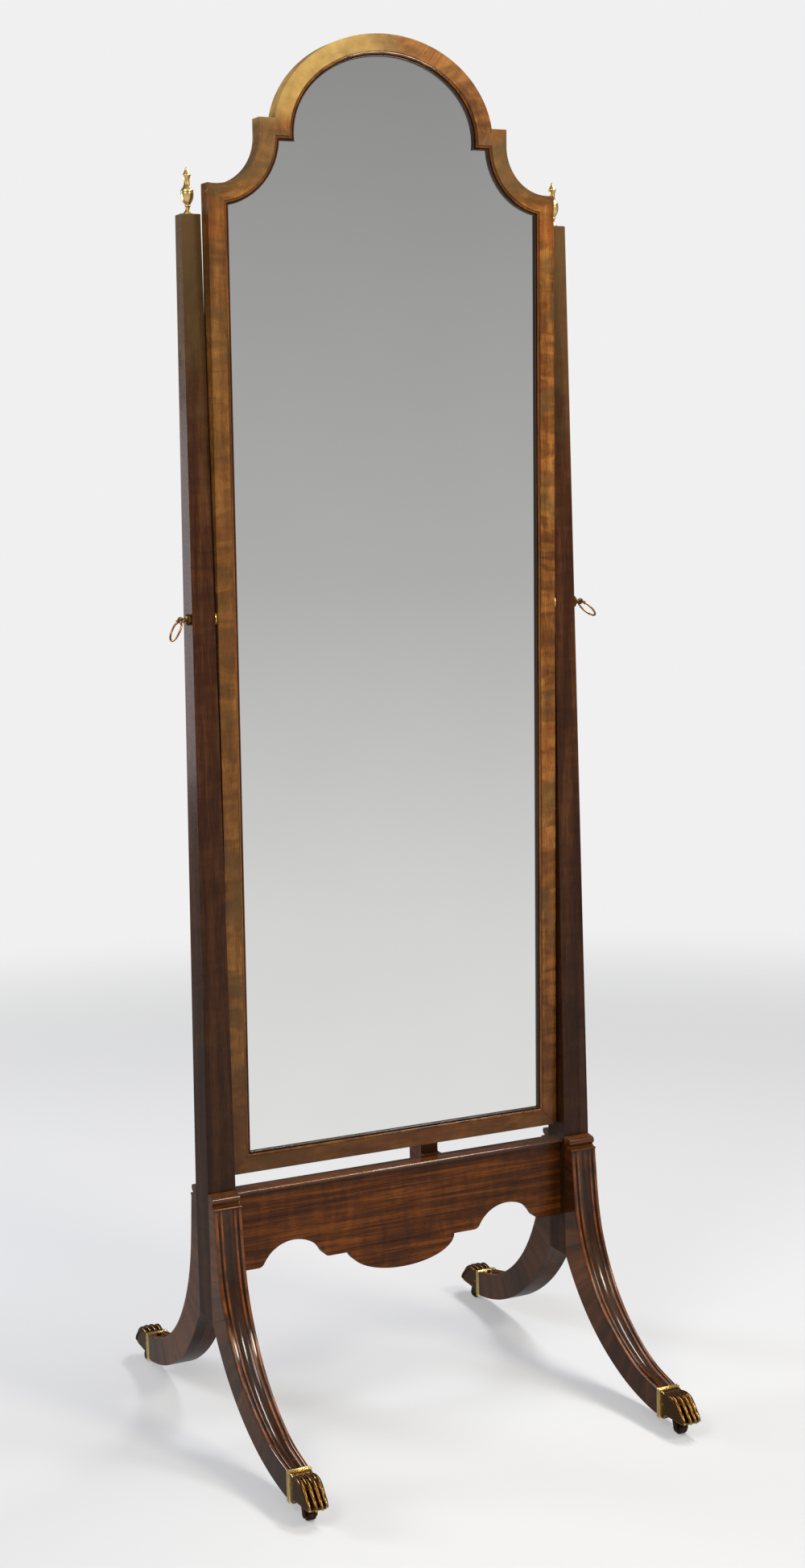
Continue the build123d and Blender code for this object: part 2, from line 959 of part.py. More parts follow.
def make_paw():
    half = paw_half_width
    nose = toe_reach - core_nose
    core = polygon(
        (leg_end_reach, paw_low),
        (leg_end_reach + heel_length, paw_low),
        (leg_end_reach + sole_length, sole_height),
        (nose, sole_height),
        (nose, (sole_height + paw_high) / 2),
        (collar_reach + knuckle_end - web_drop, paw_high - knuckle_fall - web_drop),
        (collar_reach + knuckle_run - 2 * web_drop, paw_high - web_drop),
        (collar_reach, paw_high),
        (leg_end_reach, paw_high),
    )
    paw = side_solid(core, core_inset - half, half - core_inset)
    pitch = (2 * half - toe_width) / (toe_count - 1)
    for place in range(toe_count):
        back = outer_toe_set_back if place in (0, toe_count - 1) else 0.0
        paw += make_toe(toe_width / 2 - half + place * pitch, back)
    for start in (leg_end_reach, collar_reach - collar_band):
        paw += box(
            (-half - collar_relief, start, paw_low - collar_relief / 2),
            (half + collar_relief, start + collar_band, paw_high + collar_relief),
        )
    paw = Pos(upright_centre, 0, 0) * paw
    half_peg = peg_width / 2 + fit_gap
    paw -= box(
        (upright_centre - half_peg, leg_end_reach - 1, peg_low - fit_gap),
        (
            upright_centre + half_peg,
            leg_end_reach + peg_length + fit_gap,
            peg_high + fit_gap,
        ),
    )
    paw -= rod_z(
        paw_low, sole_height + stem_length + 1, upright_centre, caster_reach,
        stem_diameter + 2 * running_gap,
    )
    for side in (-1, 1):
        paw -= pin_rod(side, pin_length + 1, pin_diameter + 2 * fit_gap)
    return paw


def pin_rod(side, length, diameter):
    face = upright_centre + side * (paw_half_width + pin_proud)
    return rod_x(face - side * length, face, pin_reach, pin_height, diameter)


def make_paw_pins():
    pins = []
    for side in (-1, 1):
        pin = pin_rod(side, pin_length, pin_diameter)
        pins += [pin, to_left(pin), to_back(pin), to_back(to_left(pin))]
    return pins


def make_fork():
    low = wheel_radius + 1
    inner = wheel_width / 2 + fork_side_gap
    outer = inner + fork_side
    crown_top = sole_height - fork_crown_gap
    crown_low = crown_top - fork_crown
    crown = rod_z(crown_low, crown_top, 0, caster_reach, 2 * outer)
    crown += rod_z(crown_top - 0.5, sole_height + stem_length, 0, caster_reach, stem_diameter)
    for side in (-1, 1):
        near, far = sorted((side * inner, side * outer))
        cheek = rod_x(near, far, wheel_reach, wheel_radius, 2 * fork_half_depth)
        cheek += box(
            (near, wheel_reach - fork_half_depth, wheel_radius),
            (far, wheel_reach + fork_half_depth, low + 1),
        )
        cheek += side_solid(
            polygon(
                (wheel_reach - fork_half_depth, low),
                (wheel_reach + fork_half_depth, low),
                (caster_reach + fork_half_depth, crown_low + 0.5),
                (caster_reach - fork_half_depth, crown_low + 0.5),
            ),
            near, far,
        )
        crown += cheek
    crown -= rod_x(
        -outer - 1, outer + 1, wheel_reach, wheel_radius, axle_diameter + 2 * fit_gap
    )
    return Pos(upright_centre, 0, 0) * crown


def make_axle():
    half = wheel_width / 2 + fork_side_gap + fork_side
    return rod_x(
        upright_centre - half, upright_centre + half,
        wheel_reach, wheel_radius, axle_diameter,
    )


def make_wheel():
    half = wheel_width / 2
    wheel = rod_x(-half, half, wheel_reach, wheel_radius, wheel_diameter)
    wheel = fillet(wheel.edges(), wheel_round)
    wheel -= rod_x(
        -half - 1, half + 1, wheel_reach, wheel_radius,
        axle_diameter + 2 * running_gap,
    )
    return Pos(upright_centre, 0, 0) * wheel


# Every piece is made for the right or the rear right and mirrored to its place
os.makedirs("parts", exist_ok=True)

pairs = {
    "upright": make_upright(),
    "finial": make_finial(),
    "pivot_washer": make_washer(),
    "pivot_screw": make_pivot_screw(),
}
for name, piece in pairs.items():
    save(piece, f"right_{name}")
    save(to_left(piece), f"left_{name}")

corners = {
    "leg": make_leg(),
    "leg_cap": make_leg_cap(),
    "paw_cap": make_paw(),
    "caster_fork": make_fork(),
    "caster_axle": make_axle(),
    "caster_wheel": make_wheel(),
}
for name, piece in corners.items():
    save(piece, f"rear_right_{name}")
    save(to_left(piece), f"rear_left_{name}")
    save(to_back(piece), f"front_right_{name}")
    save(to_back(to_left(piece)), f"front_left_{name}")

rods = dowel_rods(dowel_diameter, dowel_length)
save(group(rods + [to_left(rod) for rod in rods]), "leg_dowels")
save(make_apron(), "apron_board")
save(make_capping(), "apron_capping")
save(make_stop_block(), "stop_block")
save(group(make_stop_screws()), "stop_block_screws")
save(group(make_paw_pins()), "paw_pins")

save(make_ring(ring_lean_right), "right_ring_handle")
save(to_left(make_ring(ring_lean_left)), "left_ring_handle")

ring = frame_ring()
regions = miter_regions()
frame_pairs = {
    "stile": make_stile(ring, regions["stile"]),
    "shoulder": cut_piece(ring, regions["shoulder"]),
    "arch": cut_piece(ring, regions["arch"]),
    "pivot_plate": make_plate(),
}
for name, piece in frame_pairs.items():
    save(tip(piece), f"right_{name}")
    save(tip(to_left(piece)), f"left_{name}")
save(tip(cut_piece(ring, regions["bottom_rail"])), "bottom_rail")
save(tip(make_slip()), "glass_slip")
save(tip(make_glass()), "mirror_glass")
save(tip(make_backboard()), "backboard")
frame_groups = {
    "pivot_plate_screws": make_plate_screws(),
    "glass_blocks": make_glass_blocks(),
    "backboard_screws": make_board_screws(),
}
for name, pieces in frame_groups.items():
    save(group([tip(piece) for piece in pieces]), name)
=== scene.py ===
import bmesh
import bpy
import json
import numpy as np
from math import atan2, cos, hypot, pi, radians, sin
from mathutils import Matrix, Vector

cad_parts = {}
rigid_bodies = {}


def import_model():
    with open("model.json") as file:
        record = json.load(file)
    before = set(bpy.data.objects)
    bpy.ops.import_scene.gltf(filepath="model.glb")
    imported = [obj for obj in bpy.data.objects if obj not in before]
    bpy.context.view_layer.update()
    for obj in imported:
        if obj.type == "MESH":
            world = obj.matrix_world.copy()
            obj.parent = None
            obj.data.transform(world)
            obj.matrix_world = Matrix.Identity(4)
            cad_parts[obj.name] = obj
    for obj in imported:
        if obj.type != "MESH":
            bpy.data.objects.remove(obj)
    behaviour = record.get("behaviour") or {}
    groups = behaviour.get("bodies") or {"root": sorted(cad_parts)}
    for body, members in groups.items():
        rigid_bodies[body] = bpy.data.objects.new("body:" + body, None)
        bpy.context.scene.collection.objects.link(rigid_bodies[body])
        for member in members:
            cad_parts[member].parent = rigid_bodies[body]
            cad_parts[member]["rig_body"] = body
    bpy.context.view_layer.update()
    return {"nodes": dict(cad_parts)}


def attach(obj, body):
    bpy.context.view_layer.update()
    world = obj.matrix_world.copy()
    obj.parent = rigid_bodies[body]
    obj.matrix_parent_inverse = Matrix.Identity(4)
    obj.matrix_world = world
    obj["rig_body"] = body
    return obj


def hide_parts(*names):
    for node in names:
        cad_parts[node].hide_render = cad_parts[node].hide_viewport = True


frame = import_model()
nodes = frame["nodes"]
mm = 0.001
corners = ("front_left", "front_right", "rear_left", "rear_right")
sides = ("left", "right")
print("frame loaded,", len(nodes), "nodes")


# working on meshes

def clearSelection():
    if bpy.context.object and bpy.context.object.mode != "OBJECT":
        bpy.ops.object.mode_set(mode="OBJECT")
    bpy.ops.object.select_all(action="DESELECT")


def makeActive(piece):
    clearSelection()
    piece.select_set(True)
    bpy.context.view_layer.objects.active = piece


def openMesh(piece):
    makeActive(piece)
    bpy.ops.object.mode_set(mode="EDIT")
    bpy.ops.mesh.select_all(action="SELECT")


def closeMesh():
    bpy.ops.object.mode_set(mode="OBJECT")


def pickEdges(piece, wanted):
    # selects the edges that fit the test, and nothing else
    bpy.ops.mesh.select_mode(type="EDGE")
    bpy.ops.mesh.select_all(action="DESELECT")
    for edge in bmesh.from_edit_mesh(piece.data).edges:
        if wanted(edge):
            edge.select_set(True)
    bmesh.update_edit_mesh(piece.data)


def applyPlace(piece):
    makeActive(piece)
    bpy.ops.object.transform_apply(location=True, rotation=True, scale=True)


def faceOutwards(piece, merge=0.00001):
    openMesh(piece)
    bpy.ops.mesh.remove_doubles(threshold=merge)
    bpy.ops.mesh.normals_make_consistent(inside=False)
    closeMesh()


def applyModifier(piece, kind, **settings):
    makeActive(piece)
    modifier = piece.modifiers.new(kind.lower(), kind)
    for key, value in settings.items():
        setattr(modifier, key, value)
    bpy.ops.object.modifier_apply(modifier=modifier.name)


def smoothShade(piece, angle=35):
    makeActive(piece)
    bpy.ops.object.shade_smooth_by_angle(angle=radians(angle))


def joinPieces(name, pieces):
    clearSelection()
    for piece in pieces:
        piece.select_set(True)
    bpy.context.view_layer.objects.active = pieces[0]
    if len(pieces) > 1:
        bpy.ops.object.join()
    pieces[0].name = name
    return pieces[0]


def copyPiece(piece, name, matrix):
    twin = bpy.data.objects.new(name, piece.data.copy())
    bpy.context.scene.collection.objects.link(twin)
    twin.data.transform(matrix)
    if matrix.determinant() < 0:
        twin.data.flip_normals()
    return twin


def copyOfNode(nodeName, name, dissolve=True):
    piece = bpy.data.objects.new(name, nodes[nodeName].data.copy())
    bpy.context.scene.collection.objects.link(piece)
    piece.data.materials.clear()
    while piece.data.uv_layers:
        piece.data.uv_layers.remove(piece.data.uv_layers[0])
    makeActive(piece)
    bpy.ops.mesh.customdata_custom_splitnormals_clear()
    openMesh(piece)
    bpy.ops.mesh.remove_doubles(threshold=0.000005)
    if dissolve:
        bpy.ops.mesh.dissolve_limited(angle_limit=radians(0.3))
    closeMesh()
    return piece


def place(piece, finish, slotName, body, *nodeNames):
    piece.data.materials.clear()
    piece.data.materials.append(finish.material)
    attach(piece, body)
    if nodeNames:
        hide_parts(*nodeNames)


def bodyOf(nodeName):
    return nodes[nodeName]["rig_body"]


def mapGrain(piece, lay):
    # across goes to U and along goes to V, both in metres
    layer = piece.data.uv_layers.new(name="grain")
    spots = [lay(vertex.co) for vertex in piece.data.vertices]
    for loop in piece.data.loops:
        layer.data[loop.index].uv = spots[loop.vertex_index]


def markDepth(piece, name, measure):
    mark = piece.data.attributes.new(name, "FLOAT", "POINT")
    values = [measure(vertex.co) for vertex in piece.data.vertices]
    mark.data.foreach_set("value", values)


def markHollows(piece, rounds, gain):
    # 0.5 is flat, above it hollow, below it proud; taken from how far each point lies under its neighbours
    mesh = piece.data
    count = len(mesh.vertices)
    spots = np.zeros(count * 3)
    normals = np.zeros(count * 3)
    ends = np.zeros(len(mesh.edges) * 2, int)
    mesh.vertices.foreach_get("co", spots)
    mesh.vertices.foreach_get("normal", normals)
    mesh.edges.foreach_get("vertices", ends)
    spots, normals, ends = spots.reshape(-1, 3), normals.reshape(-1, 3), ends.reshape(-1, 2)
    near = np.zeros(count)
    np.add.at(near, ends[:, 0], 1)
    np.add.at(near, ends[:, 1], 1)
    near = np.maximum(near, 1)

    def average(values):
        total = np.zeros_like(values)
        np.add.at(total, ends[:, 0], values[ends[:, 1]])
        np.add.at(total, ends[:, 1], values[ends[:, 0]])
        return total / near.reshape((-1,) + (1,) * (values.ndim - 1))

    smoothed = spots
    for step in range(rounds):
        smoothed = average(smoothed)
    depth = np.einsum("ij,ij->i", smoothed - spots, normals) * gain
    for step in range(2):
        depth = average(depth)
    mark = mesh.attributes.new("hollow", "FLOAT", "POINT")
    mark.data.foreach_set("value", np.clip(depth + 0.5, 0, 1))


def flow(points, steps=4):
    # a smooth run through the given points
    run = []
    for index in range(len(points) - 1):
        before = points[max(index - 1, 0)]
        here, there = points[index], points[index + 1]
        after = points[min(index + 2, len(points) - 1)]
        for step in range(steps):
            t = step / steps
            run.append(tuple(
                0.5 * (2 * b + (c - a) * t + (2 * a - 5 * b + 4 * c - d) * t * t
                       + (3 * b - a - 3 * c + d) * t ** 3)
                for a, b, c, d in zip(before, here, there, after)))
    run.append(tuple(points[-1]))
    return run


def turned(name, profile, rim=48):
    # a foot circle drawn up and scaled step by step, as on a lathe
    # profile is (radius, height) in millimetres
    clearSelection()
    radius, height = profile[0]
    bpy.ops.mesh.primitive_circle_add(
        vertices=rim, radius=radius * mm, fill_type="NGON", location=(0, 0, height * mm))
    piece = bpy.context.object
    piece.name = name
    applyPlace(piece)
    openMesh(piece)
    for wide, high in profile[1:]:
        bpy.ops.mesh.extrude_region_move(TRANSFORM_OT_translate={"value": (0, 0, (high - height) * mm)})
        share = wide / radius
        bpy.ops.transform.resize(value=(share, share, 1), center_override=(0, 0, high * mm))
        radius, height = wide, high
    if radius < 0.2:
        bpy.ops.mesh.merge(type="CENTER")
    closeMesh()
    faceOutwards(piece)
    return piece


def limb(name, path, radii, rim=16):
    # a circle drawn along a path in the side plane, turned and scaled to follow it
    # path is (reach, height) in millimetres
    clearSelection()
    headings = []
    for index in range(len(path)):
        a, b = path[max(index - 1, 0)], path[min(index + 1, len(path) - 1)]
        headings.append(atan2(b[1] - a[1], b[0] - a[0]))
    bpy.ops.mesh.primitive_circle_add(
        vertices=rim, radius=radii[0] * mm, fill_type="NGON",
        location=(0, path[0][0] * mm, path[0][1] * mm), rotation=(headings[0] - pi / 2, 0, 0))
    piece = bpy.context.object
    piece.name = name
    applyPlace(piece)
    openMesh(piece)
    for index in range(1, len(path)):
        move = [(path[index][i] - path[index - 1][i]) * mm for i in range(2)]
        centre = (0, path[index][0] * mm, path[index][1] * mm)
        bpy.ops.mesh.extrude_region_move(TRANSFORM_OT_translate={"value": (0, move[0], move[1])})
        bpy.ops.transform.rotate(
            value=-(headings[index] - headings[index - 1]), orient_axis="X", center_override=centre)
        share = radii[index] / radii[index - 1]
        bpy.ops.transform.resize(value=(share, share, share), center_override=centre)
    closeMesh()
    faceOutwards(piece)
    return piece


def block(name, stations, halfWidth):
    # a slab drawn along the side plane from station to station: (reach, low, high, share of the width)
    clearSelection()
    reach, low, high, share = stations[0]
    bpy.ops.mesh.primitive_plane_add(
        size=1, location=(0, reach * mm, (low + high) / 2 * mm), rotation=(pi / 2, 0, 0))
    piece = bpy.context.object
    piece.name = name
    piece.scale = (2 * halfWidth * share * mm, (high - low) * mm, 1)
    applyPlace(piece)
    openMesh(piece)
    for nextReach, nextLow, nextHigh, nextShare in stations[1:]:
        lift = (nextLow + nextHigh - low - high) / 2
        bpy.ops.mesh.extrude_region_move(
            TRANSFORM_OT_translate={"value": (0, (nextReach - reach) * mm, lift * mm)})
        bpy.ops.transform.resize(
            value=(nextShare / share, 1, (nextHigh - nextLow) / (high - low)),
            center_override=(0, nextReach * mm, (nextLow + nextHigh) / 2 * mm))
        reach, low, high, share = nextReach, nextLow, nextHigh, nextShare
    closeMesh()
    faceOutwards(piece)
    return piece


def hoop(name, radius, stock, rim=14, steps=72, flat=1.0):
    # a small circle spun about the Y axis
    clearSelection()
    bpy.ops.mesh.primitive_circle_add(
        vertices=rim, radius=stock * mm, fill_type="NOTHING", location=(radius * mm, 0, 0))
    piece = bpy.context.object
    piece.name = name
    piece.scale = (1, flat, 1)
    applyPlace(piece)
    openMesh(piece)
    bpy.ops.mesh.spin(steps=steps, angle=2 * pi, center=(0, 0, 0), axis=(0, 1, 0))
    closeMesh()
    faceOutwards(piece, 0.00002)
    return piece


# shader expressions

class Wire:
    # a socket that can be added, multiplied and so on
    def __init__(self, finish, socket):
        self.finish = finish
        self.socket = socket

    def __add__(self, other):
        return self.finish.math("ADD", self, other)

    def __radd__(self, other):
        return self.finish.math("ADD", other, self)

    def __sub__(self, other):
        return self.finish.math("SUBTRACT", self, other)

    def __rsub__(self, other):
        return self.finish.math("SUBTRACT", other, self)

    def __mul__(self, other):
        return self.finish.math("MULTIPLY", self, other)

    def __rmul__(self, other):
        return self.finish.math("MULTIPLY", other, self)

    def __abs__(self):
        return self.finish.math("ABSOLUTE", self)

    def clip(self):
        return self.finish.math("ADD", self, 0.0, True)

    def rise(self, low, high):
        # 0 below low, 1 above high, smooth between; low may be the larger
        node = self.finish.add("ShaderNodeMapRange", {"interpolation_type": "SMOOTHSTEP"},
                               {"Value": self, "From Min": min(low, high), "From Max": max(low, high)})
        wire = Wire(self.finish, node.outputs[0])
        return wire if high > low else 1 - wire


class Finish:
    def __init__(self, name, owner=None):
        self.material = owner or bpy.data.materials.new(name)
        self.material.use_nodes = True
        self.tree = self.material.node_tree
        self.tree.nodes.clear()

    def add(self, kind, settings=None, inputs=None):
        node = self.tree.nodes.new(kind)
        for key, value in (settings or {}).items():
            if key == "stops":
                ramp = node.color_ramp
                while len(ramp.elements) < len(value):
                    ramp.elements.new(1.0)
                for element, (spot, colour) in zip(ramp.elements, value):
                    element.position = spot
                    element.color = (*colour, 1)
            else:
                setattr(node, key, value)
        for key, value in (inputs or {}).items():
            if isinstance(value, Wire):
                self.tree.links.new(value.socket, node.inputs[key])
            elif value is not None:
                node.inputs[key].default_value = value
        return node

    def math(self, kind, first, second=None, clamp=False):
        inputs = {0: first}
        if second is not None:
            inputs[1] = second
        node = self.add("ShaderNodeMath", {"operation": kind, "use_clamp": clamp}, inputs)
        return Wire(self, node.outputs[0])

    def spots(self, scale=(1, 1, 1), turn=(0, 0, 0), move=(0, 0, 0), grain=False):
        source = self.add("ShaderNodeUVMap", {"uv_map": "grain"}) if grain else self.add("ShaderNodeTexCoord")
        wire = Wire(self, source.outputs[0 if grain else "Object"])
        node = self.add("ShaderNodeMapping", None,
                        {"Vector": wire, "Location": move, "Rotation": turn, "Scale": scale})
        return Wire(self, node.outputs[0])

    def part(self, vector, axis):
        return Wire(self, self.add("ShaderNodeSeparateXYZ", None, {0: vector}).outputs[axis])

    def attribute(self, name):
        return Wire(self, self.add("ShaderNodeAttribute", {"attribute_name": name}).outputs["Fac"])

    def noise(self, vector, scale, detail=3.0, rough=0.5, warp=0.0):
        node = self.add("ShaderNodeTexNoise", None, {
            "Vector": vector, "Scale": scale, "Detail": detail, "Roughness": rough, "Distortion": warp})
        return Wire(self, node.outputs[0])

    def tone(self, factor, stops):
        return Wire(self, self.add("ShaderNodeValToRGB", {"stops": stops}, {0: factor}).outputs[0])

    def blend(self, factor, first, second, kind="MIX"):
        def colour(value):
            return value if isinstance(value, Wire) else (*value, 1)
        node = self.add("ShaderNodeMix", {"data_type": "RGBA", "blend_type": kind},
                        {0: factor, 6: colour(first), 7: colour(second)})
        return Wire(self, node.outputs[2])

    def bump(self, height, strength, distance):
        node = self.add("ShaderNodeBump", None, {
            "Strength": strength, "Distance": distance, "Height": height})
        return Wire(self, node.outputs[0])

    def surface(self, inputs):
        shader = self.add("ShaderNodeBsdfPrincipled", None, inputs)
        out = self.add("ShaderNodeOutputMaterial")
        self.tree.links.new(shader.outputs[0], out.inputs[0])
        return self


def paint(red, green, blue):
    # a screen colour, 0 to 255, as the shader wants it
    values = []
    for part in (red, green, blue):
        part = part / 255
        values.append(part / 12.92 if part <= 0.04045 else ((part + 0.055) / 1.055) ** 2.4)
    return tuple(values)


# wood

uprightWood = {"dark": paint(28, 13, 5), "middle": paint(64, 33, 13), "light": paint(106, 66, 32),
               "along": (1, 1, 0.045), "fine": 820, "figure": 46, "poreCut": 0.63,
               "gloss": 0.27, "coat": 0.08}
apronWood = {"dark": paint(24, 10, 2), "middle": paint(80, 39, 6), "light": paint(144, 80, 20),
             "along": (0.03, 1, 1), "fine": 640, "figure": 90, "poreCut": 0.60, "gloss": 0.28, "coat": 0.08}
cappingWood = {"dark": paint(30, 14, 4), "middle": paint(74, 38, 12), "light": paint(124, 72, 26),
               "along": (0.04, 1, 1), "fine": 700, "figure": 70, "poreCut": 0.64, "gloss": 0.13, "coat": 0.5}
frameVeneer = {"dark": paint(62, 36, 13), "middle": paint(142, 88, 34), "light": paint(214, 150, 72),
               "along": (1, 0.07, 1), "fine": 760, "figure": 52, "poreCut": 0.60, "gloss": 0.27, "coat": 0.2,
               "grain": True}
slipWood = {"dark": paint(50, 27, 10), "middle": paint(100, 58, 22), "light": paint(146, 92, 40),
            "along": (1, 1, 0.06), "fine": 900, "figure": 60, "poreCut": 0.66, "gloss": 0.16, "coat": 0.3}
backWood = {"dark": paint(70, 44, 26), "middle": paint(122, 82, 50), "light": paint(158, 114, 74),
            "along": (1, 1, 0.03), "fine": 420, "figure": 22, "poreCut": 0.62, "gloss": 0.55, "coat": 0.0}
blockWood = {"dark": paint(46, 26, 15), "middle": paint(88, 52, 30), "light": paint(124, 78, 46),
             "along": (0.05, 1, 1), "fine": 520, "figure": 40, "poreCut": 0.6, "gloss": 0.42, "coat": 0.1}
dowelWood = {"dark": paint(120, 84, 50), "middle": paint(170, 126, 82), "light": paint(196, 154, 106),
             "along": (1, 0.06, 1), "fine": 600, "figure": 60, "poreCut": 0.64, "gloss": 0.6, "coat": 0.0}


def woodFinish(name, wood, tint=None):
    finish = Finish(name)
    grain = wood.get("grain", False)
    along = finish.spots(wood["along"], grain=grain)
    plain = finish.spots(grain=False)
    stretched = tuple(min(1, 3.2 * part) for part in wood["along"])
    porous = finish.spots(stretched, move=(3.1, 1.7, 0.4), grain=grain)
    fine = finish.noise(along, wood["fine"], 5, 0.62, 0.15)
    figure = finish.noise(along, wood["figure"], 4, 0.5, 1.1)
    cloud = finish.noise(plain, 7, 3, 0.5, 0.6)
    crosswise = tuple(0.3 if part == 1 else 1 for part in wood["along"])
    ripple = finish.noise(finish.spots(crosswise, grain=grain), 90, 2, 0.4, 0.7)
    pores = finish.noise(porous, 1500, 2, 0.5).rise(wood["poreCut"], wood["poreCut"] + 0.06)
    mix = figure * 0.62 + fine * 0.42 + ripple * 0.16 + cloud * 0.24 - 0.2
    colour = finish.tone(mix, [(0.3, wood["dark"]), (0.5, wood["middle"]), (0.74, wood["light"])])
    colour = finish.blend(pores * 0.55, colour, finish.blend(1.0, colour, (0.25, 0.2, 0.18), "MULTIPLY"))
    knocks = finish.noise(plain, 130, 2, 0.6).rise(0.73, 0.78)      # small, filled with dark polish
    colour = finish.blend(knocks * 0.7, colour, wood["dark"])
    smudge = finish.noise(plain, 34, 4, 0.6)
    if tint:
        colour = tint(finish, colour, smudge)
    height = fine * 0.35 - pores * 0.5 - knocks * 0.9 + finish.noise(plain, 60, 2) * 0.5
    wearAndSheen = (smudge - 0.5) * 0.16 + pores * 0.14 + knocks * 0.12 + (fine - 0.5) * 0.06
    rough = (wood["gloss"] + wearAndSheen).clip()
    return finish.surface({
        "Base Color": colour, "Roughness": rough, "Normal": finish.bump(height, 0.28, 0.00022),
        "Coat Weight": wood["coat"], "Coat Roughness": 0.1, "Specular IOR Level": 0.16})


legZones = {"face": (0.0075, 0.0045), "hollow": (0.42, 0.36), "quirk": (0.585, 0.62, 0.745, 0.71),
            "inner": (0.4, 0.44, 0.6, 0.56), "outer": (0.74, 0.8, 1.0, 0.95), "acrossScale": 20}


def band(wire, limits):
    # 1 between the middle pair of limits, 0 outside the outer pair
    start, full, end, last = limits
    return wire.rise(start, full) * wire.rise(end, last)


def legTint(finish, colour, smudge):
    # U is the place across the leg in half widths, V the length along it; the sunk quirks and the hollow are
    # painted dark as painted shade
    spot = finish.spots(grain=True)
    across = abs(finish.part(spot, 0)) * legZones["acrossScale"]
    face = finish.attribute("depth").rise(*legZones["face"])
    quirk = band(across, legZones["quirk"])
    hollow = across.rise(*legZones["hollow"])
    reed = band(across, legZones["inner"]) + band(across, legZones["outer"])
    wearAndSheen = (smudge - 0.35).rise(0.0, 0.3)
    # the quirks are painted near black and the hollow darker, as painted shade
    colour = finish.blend(face * quirk * 0.95, colour, paint(10, 6, 4))
    colour = finish.blend(face * hollow * 0.55, colour, paint(28, 14, 7))
    # the reeds are painted lighter in patches, partly wear and partly painted highlight
    return finish.blend(face * reed * wearAndSheen * 0.55, colour, paint(162, 88, 32))


uprightZones = {"paintedLightTop": (1.15, 1.5), "paintedShadeLow": (1.0, 0.35)}


def uprightTint(finish, colour, smudge):
    # painted light makes it paler and olive near the top, and painted shade makes it near black near the floor
    height = finish.part(finish.spots(), 2) + (smudge - 0.5) * 0.3
    colour = finish.blend(height.rise(*uprightZones["paintedLightTop"]) * 0.5, colour, paint(104, 84, 48))
    return finish.blend(height.rise(*uprightZones["paintedShadeLow"]) * 0.6, colour, paint(24, 12, 7))


frameZones = {"shadedSide": (0.02, -0.16), "stileTop": (1.54, 1.42), "cove": (1.505, 1.53, 1.6, 1.57),
              "arch": (1.585, 1.61), "glareSide": (0.03, -0.04), "rail": (0.5, 0.34)}


def frameTint(finish, colour, smudge):
    # the old polish has gone olive in places and foxy red in others, and the cut shows slanting flames
    plain = finish.spots()
    across, height = finish.part(plain, 0), finish.part(plain, 2)
    flames = finish.noise(finish.spots((0.35, 1, 1), (0, 0.6, 0)), 42, 3, 0.5, 1.4)
    olive = finish.noise(plain, 9, 3, 0.55, 0.8).rise(0.48, 0.64)
    foxy = finish.noise(finish.spots(move=(4, 2, 7)), 11, 3, 0.55, 0.8).rise(0.54, 0.72)
    shadow = finish.blend(1.0, colour, (0.5, 0.46, 0.4), "MULTIPLY")
    colour = finish.blend(flames.rise(0.38, 0.6) * 0.75, shadow, colour)
    colour = finish.blend(olive * 0.65, colour, paint(88, 68, 36))
    colour = finish.blend(foxy * 0.35, colour, paint(150, 76, 26))
    # the stile away from the light is painted browner, as painted shade
    shaded = across.rise(*frameZones["shadedSide"]) * height.rise(*frameZones["stileTop"])
    colour = finish.blend(shaded * 0.42, colour, paint(88, 62, 30))
    # the cove is painted olive grey where it turns up towards the light, a painted sheen
    cove = band(height, frameZones["cove"])
    colour = finish.blend(cove * 0.62, colour, paint(92, 74, 44))
    # the left half of the arch carries a pale painted glare, a painted highlight
    paintedGlare = height.rise(*frameZones["arch"]) * across.rise(*frameZones["glareSide"])
    colour = finish.blend(paintedGlare * (0.45 + (smudge - 0.5) * 0.9), colour, paint(226, 190, 108))
    # the bottom rail is painted darker, painted shade low down
    return finish.blend(height.rise(*frameZones["rail"]) * 0.6, colour, paint(78, 43, 16))


def slipTint(finish, colour, smudge):
    # the outer bead matches the frame; the quirk is painted dark and the wall beside the glass painted near
    # black, as painted shade in the recess
    sunk = finish.attribute("depth")
    colour = finish.blend(sunk.rise(0.0011, 0.0019), colour, paint(44, 24, 11))
    return finish.blend(sunk.rise(0.0021, 0.0027), colour, paint(10, 6, 4))


legWood = {"dark": paint(20, 9, 3), "middle": paint(58, 30, 10), "light": paint(112, 64, 24),
           "along": (1, 0.05, 1), "fine": 820, "figure": 60, "poreCut": 0.62, "gloss": 0.2, "coat": 0.6,
           "grain": True}

finishes = {
    "upright": woodFinish("uprightMahogany", uprightWood, uprightTint),
    "leg": woodFinish("legMahogany", legWood, legTint),
    "cap": woodFinish("legCapMahogany", cappingWood),
    "apron": woodFinish("apronMahogany", apronWood),
    "capping": woodFinish("cappingMahogany", cappingWood),
    "frame": woodFinish("frameVeneer", frameVeneer, frameTint),
    "slip": woodFinish("slipPolish", slipWood, slipTint),
    "back": woodFinish("backboardWood", backWood),
    "block": woodFinish("blockWood", blockWood),
    "dowel": woodFinish("dowelBeech", dowelWood),
}
print("wood finishes made")


# metals and glass

brass = {"clean": paint(210, 168, 92), "pale": paint(242, 218, 152), "brown": paint(84, 56, 26),
         "black": paint(16, 10, 5), "bronze": paint(108, 76, 38)}


